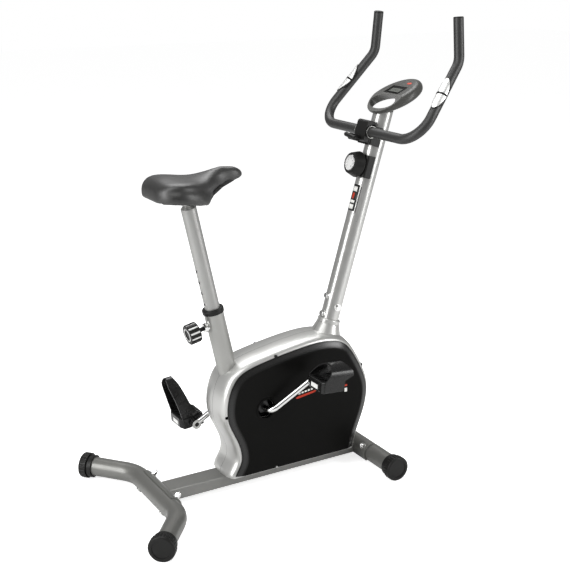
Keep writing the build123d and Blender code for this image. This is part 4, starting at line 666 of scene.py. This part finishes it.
# ---- Tension knob --------------------------------------------------------------------------------
# A ribbed knob with a brushed plate in its face. The plate carries a printed scale with numbers
# for the load, inside a thin turned rim.
DIAL_Z = 810.5
DIAL_OUT = 62.8 * MM
DIAL_R = 19.5 * MM
DIAL_SILVER = (0.80, 0.80, 0.79)
DIAL_RIM_SHADE = 0.015
dial_centre = mast_at(DIAL_Z) + RIDER_WAY * DIAL_OUT
dial_place = placed(dial_centre, Vector((0, -1, 0)), RIDER_WAY)
dial_plate = Finish("dial_plate", Metallic=0.25, Coat_Weight=0.3, Coat_Roughness=0.12)
on_plate = dial_plate.axis_distance(dial_centre, RIDER_WAY) < DIAL_R
dial_flakes = dial_plate.noise(FLAKE_SCALE, 1) * 0.12 + 0.94
dial_plate.colour(DIAL_SILVER, dial_flakes * (on_plate * (1 - DIAL_RIM_SHADE) + DIAL_RIM_SHADE))
dial_plate.roughen(0.36, spread=0.12, scale=60)
dress(dial_plate.material, "tension_dial")
dial_ink = print_ink("dial_ink", (0.16, 0.16, 0.17))


def turned_ring(name, place, radius, half_width, height, sides=64):
    """Closed ring with a softly domed section, lying on the local plane."""
    shape = bmesh.new()
    section = [(-half_width, -0.5 * height), (-half_width, 0.6 * height),
               (-0.5 * half_width, height), (0.5 * half_width, height),
               (half_width, 0.6 * height), (half_width, -0.5 * height)]
    rows = []
    for i in range(sides):
        angle = 2 * math.pi * i / sides
        across = [(radius + out, z) for out, z in section]
        rows.append([shape.verts.new((r * math.cos(angle), r * math.sin(angle), z))
                     for r, z in across])
    for i, row in enumerate(rows):
        after = rows[(i + 1) % sides]
        for j in range(len(section)):
            k = (j + 1) % len(section)
            shape.faces.new((row[j], row[k], after[k], after[j]))
    shape.transform(place)
    return from_bmesh(name, shape, smooth=True)


DIAL_RING_HALF = 0.7 * MM
DIAL_RING_HIGH = 0.6 * MM
dial_ring = turned_ring("dial_rim", dial_place, DIAL_R, DIAL_RING_HALF, DIAL_RING_HIGH)
piece(dial_ring, chrome, "tension")

# The numbers 1 to 8 stand round three quarters of the dial, and ticks part each step in three.
DIAL_STEPS = 8
TICKS_PER_STEP = 3
DIAL_FIRST = math.radians(-45)
DIAL_STEP = math.radians(270 / (DIAL_STEPS - 1))
TICK_R = DIAL_R * 0.85
TICK_SIZE = (1.8 * MM, 0.5 * MM, 0.3 * MM)
NUMBER_R = DIAL_R * 0.62
NUMBER_SIZE = 5.4 * MM
NUMBER_LIFT = 0.1 * MM
NUMBER_HALF_THICK = 0.12 * MM
marks("dial_ticks", dial_place, dial_ink, "tension", "dial_silver",
      Count=(DIAL_STEPS - 1) * TICKS_PER_STEP + 1, Radius=TICK_R, First_Angle=DIAL_FIRST,
      Angle_Step=DIAL_STEP / TICKS_PER_STEP, Bar_Size=TICK_SIZE)
for number in range(1, DIAL_STEPS + 1):
    angle = DIAL_FIRST + DIAL_STEP * (DIAL_STEPS - number)
    words = bpy.data.curves.new(f"dial_number_{number}", "FONT")
    words.body = str(number)
    words.size = NUMBER_SIZE
    words.extrude = NUMBER_HALF_THICK
    words.align_x = words.align_y = "CENTER"
    carrier = added("carrier", words)
    graph = bpy.context.evaluated_depsgraph_get()
    digit = bpy.data.meshes.new_from_object(carrier.evaluated_get(graph))
    bpy.data.objects.remove(carrier)
    digit.name = words.name
    spot = Vector((math.cos(angle) * NUMBER_R, math.sin(angle) * NUMBER_R, NUMBER_LIFT))
    digit.transform(dial_place @ Matrix.Translation(spot))
    piece(digit, dial_ink, "tension")

# ---- Bar washers ---------------------------------------------------------------------------------
# Thin turned steel washers, zinc plated. They are slipped over the bar before the foam sleeves,
# and close the gap between each sleeve and the bar clamp.
BAR_AXIS = Vector((290.0, 0, 906.0)) * MM
WRAP_HALF = 27.2 * MM
WASHER_R = 15.0 * MM
WASHER_HALF = 0.7 * MM
WASHER_THICK = 0.5 * MM
for side, side_name in ((-1, "right"), (1, "left")):
    away = Vector((0, side, 0))
    washer_place = placed(BAR_AXIS + away * WRAP_HALF, Vector((1, 0, 0)), away)
    washer = turned_ring(f"bar_washer_{side_name}", washer_place,
                         WASHER_R, WASHER_HALF, WASHER_THICK)
    piece(washer, zinc, "bar")

# ---- Saddle post knob ----------------------------------------------------------------------------
# The pull knob that pins the post is a black fluted moulding. Bright satin strips in its flutes are
# painted highlights for its ribs, and a turned ring is set in its face.
KNOB_AXIS_Z = 459.0
KNOB_WAY = Vector((-math.cos(SEAT_LEAN), 0, -math.sin(SEAT_LEAN)))
KNOB_FACE_OUT = 82.0 * MM
KNOB_LONG = 29.0 * MM
FLUTES = 10
FLUTE_FLOOR_R = 22.7 * MM
HIGHLIGHT_STRIP_SIZE = (1.2 * MM, 4.6 * MM, KNOB_LONG * 0.86)
FACE_RING_R = 15.5 * MM
FACE_RING_HALF = 1.3 * MM
FACE_RING_HIGH = 0.6 * MM
knob_cross = SEAT_FOOT + SEAT_UP * (KNOB_AXIS_Z * MM / math.cos(SEAT_LEAN))
knob_face = placed(knob_cross + KNOB_WAY * KNOB_FACE_OUT, Vector((0, 1, 0)), KNOB_WAY)
knob_middle = knob_face @ Matrix.Translation((0, 0, -KNOB_LONG / 2))
# Painted highlights: bright satin strips in the flutes stand for the highlights on the knob's ribs.
marks("knob_flute_strips", knob_middle, plate_satin, "saddle_pin", "chrome", Count=FLUTES,
      Radius=FLUTE_FLOOR_R, First_Angle=math.pi / FLUTES, Angle_Step=2 * math.pi / FLUTES,
      Bar_Size=HIGHLIGHT_STRIP_SIZE)
face_ring = turned_ring("knob_face_ring", knob_face, FACE_RING_R, FACE_RING_HALF, FACE_RING_HIGH)
piece(face_ring, plate_satin, "saddle_pin")

# ---- Console -------------------------------------------------------------------------------------
# A two-part oval shell with a wide opening towards the rider. A glossy black window holds the
# grey display, and one key sits beyond it.
console_plastic = moulded("console_grey_plastic", (0.060, 0.060, 0.056),
                          roughness=0.36, grain_mm=0.6, coat=0.1)
dress(console_plastic, "console_base", "console_shell")
window_gloss = Finish("window_gloss", Specular_IOR_Level=0.15, Coat_Weight=0.10,
                      Coat_Roughness=0.04)
window_gloss.colour((0.006, 0.006, 0.006), window_gloss.noise(60) * 0.4 + 0.8)
window_gloss.roughen(0.16, spread=0.08, scale=200)
dress(window_gloss.material, "console_display")
dress(print_ink("key_red", (0.55, 0.06, 0.03), roughness=0.3), "console_button")

CONSOLE_TILT = math.radians(24)
CONSOLE_AT = Vector((373.7, 0, 1002.5)) * MM
CONSOLE_FORE = Vector((math.cos(CONSOLE_TILT), 0, math.sin(CONSOLE_TILT)))
CONSOLE_OUT = Vector((-math.sin(CONSOLE_TILT), 0, math.cos(CONSOLE_TILT)))


def reach(node, direction):
    """Furthest distance of a node's surface along a direction."""
    return max(vertex.co.dot(direction) for vertex in nodes[node].data.vertices)


window_low, window_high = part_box("console_display")
window_middle = (Vector(window_low) + Vector(window_high)) / 2
window_face = reach("console_display", CONSOLE_OUT)
lcd_at = window_middle + CONSOLE_OUT * (window_face - window_middle.dot(CONSOLE_OUT))
lcd_place = placed(lcd_at, Vector((0, -1, 0)), CONSOLE_OUT)
LCD_SIZE = (42.0 * MM, 17.0 * MM, 0.2 * MM)
lcd = Finish("display_glass", Coat_Weight=0.5, Coat_Roughness=0.1)
lcd.colour((0.085, 0.092, 0.080), lcd.noise(80) * 0.2 + 0.9)
lcd.roughen(0.30, spread=0.1, scale=300)
marks("display_field", lcd_place, lcd.material, "frame", "display_glass", Bar_Size=LCD_SIZE)

# Four digits of plain bars. Each row of bars: its height and its offset, both in segments, and
# its turn in half turns.
segment_ink = print_ink("segment_ink", (0.035, 0.04, 0.035))
DIGITS = 4
DIGIT_PITCH = 9.0 * MM
SEGMENT = 4.2 * MM
SEGMENT_SIZE = (SEGMENT * 0.86, 0.7 * MM, 0.15 * MM)
SEGMENT_LIFT = 0.1 * MM
SEGMENT_ROWS = ((1.0, 0.0, 0.0), (0.0, 0.0, 0.0), (-1.0, 0.0, 0.0),
                (0.5, 0.5, 0.5), (-0.5, -0.5, 0.5), (0.5, -0.5, 0.5))
first_digit = -(DIGITS - 1) / 2 * DIGIT_PITCH
for row, (height, offset, turn) in enumerate(SEGMENT_ROWS):
    start = Vector((first_digit + offset * SEGMENT, height * SEGMENT, SEGMENT_LIFT))
    marks(f"display_segments_{row}", lcd_place @ Matrix.Translation(start),
          segment_ink, "frame", "display_glass", Count=DIGITS, Bar_Size=SEGMENT_SIZE,
          Pitch=(DIGIT_PITCH, 0.0, 0.0), Bar_Turn=math.pi * turn)

# ---- Crank and pedals ----------------------------------------------------------------------------
# A forged crank in bright chrome turns in dark cups. The pedals are glossy black nylon, each with
# a rubber strap and pale reflectors. The drive inside the housing is plain iron and rubber.
dress(chrome, "crank")
dress(steel_paint("oiled_dark_steel", (0.012, 0.012, 0.012), roughness=0.30, metal=0.6, coat=0.3),
      "crank_cones", "crank_cups")
dress(zinc, "axle_bearings", "flywheel_axle", "magnet_bracket")
PEDAL_BLACK = (0.009, 0.009, 0.009)
dress(moulded("pedal_nylon", PEDAL_BLACK, roughness=0.26, grain_mm=0.5, coat=0.35),
      "pedal_right", "pedal_left", "drive_pulley")
dress(moulded("strap_rubber", PEDAL_BLACK, roughness=0.28, grain_mm=0.45, coat=0.30),
      "strap_right", "strap_left", "drive_belt")
dress(moulded("reflector", (0.8, 0.8, 0.78), roughness=0.2, grain_mm=1.2, coat=0.5),
      "reflectors_right", "reflectors_left")
dress(moulded("iron", (0.10, 0.10, 0.10), roughness=0.5, grain_mm=0.8), "flywheel")

# ---- Floor, light and camera ---------------------------------------------------------------------
# A pale sweep stands in for a studio floor. A soft box on each side, one overhead and one behind
# light the bike, and the camera stands at its right, behind the saddle, at shoulder height.
FLOOR_HALF = 14.0
FLOOR_WHITE = (0.92, 0.92, 0.92, 1)
FLOOR_LIFT = 0.75
WORLD_LEVEL = 0.26
WHITE = (1, 1, 1, 1)
floor_corners = [(x * FLOOR_HALF, y * FLOOR_HALF, 0)
                 for x, y in ((-1, -1), (1, -1), (1, 1), (-1, 1))]
floor_mesh = bpy.data.meshes.new("floor")
floor_mesh.from_pydata(floor_corners, [], [(0, 1, 2, 3)])
floor = added("floor", floor_mesh)
floor_finish = Finish("pale_floor", Base_Color=FLOOR_WHITE, Roughness=0.9)
floor_mesh.materials.append(floor_finish.material)

# White light that only direct and see-through views meet keeps the floor pale and its shadow
# soft.
direct = floor_finish.node("LightPath", output="Is Camera Ray")
through = floor_finish.node("LightPath", output="Is Transmission Ray")
glow_inputs = {"Color": WHITE, "Strength": (direct + through) * FLOOR_LIFT}
glow = floor_finish.node("Emission", glow_inputs)
matt = Wire(floor_finish, floor_finish.shader.outputs["BSDF"])
lit = floor_finish.node("AddShader", {0: matt, 1: glow})
floor_finish.plug(floor_finish.tree.nodes["Material Output"].inputs["Surface"], lit)

world = bpy.data.worlds.new("studio")
bpy.context.scene.world = world
world.use_nodes = True
studio = Network(world.node_tree)
backdrop = studio.tree.nodes["Background"]
backdrop.inputs["Color"].default_value = WHITE
seen = studio.node("LightPath", output="Is Camera Ray")
studio.plug(backdrop.inputs["Strength"], seen * (1 - WORLD_LEVEL) + WORLD_LEVEL)

CAMERA_AT = Vector((-1.2766, -2.2491, 1.3307))
CAMERA_TARGET = Vector((0.0486, -0.0001, 0.5280))
LENS_MM = 67.05
SENSOR_MM = 36.0


def facing_bike(place):
    """Turn that points a lamp or a camera at the middle of the bike."""
    return (CAMERA_TARGET - Vector(place)).to_track_quat("-Z", "Y").to_euler()


def soft_box(name, at, size, watts):
    lamp = bpy.data.lights.new(name, "AREA")
    lamp.shape = "RECTANGLE"
    lamp.size, lamp.size_y = size
    lamp.energy = watts
    box = added(name, lamp)
    box.location = at
    box.rotation_euler = facing_bike(at)


soft_box("box_left", at=(-2.8, -0.2, 1.5), size=(0.9, 2.4), watts=62)
soft_box("box_right", at=(1.9, -2.0, 1.4), size=(0.7, 2.4), watts=46)
soft_box("box_top", at=(-1.1, -0.6, 2.7), size=(1.6, 1.6), watts=26)
soft_box("box_behind", at=(0.5, 1.2, 2.9), size=(1.8, 1.4), watts=42)

camera_data = bpy.data.cameras.new("camera")
camera_data.lens = LENS_MM
camera_data.sensor_width = SENSOR_MM
camera = added("camera", camera_data)
camera.location = CAMERA_AT
camera.rotation_euler = facing_bike(CAMERA_AT)
scene = bpy.context.scene
scene.camera = camera
scene.view_settings.view_transform = "Standard"
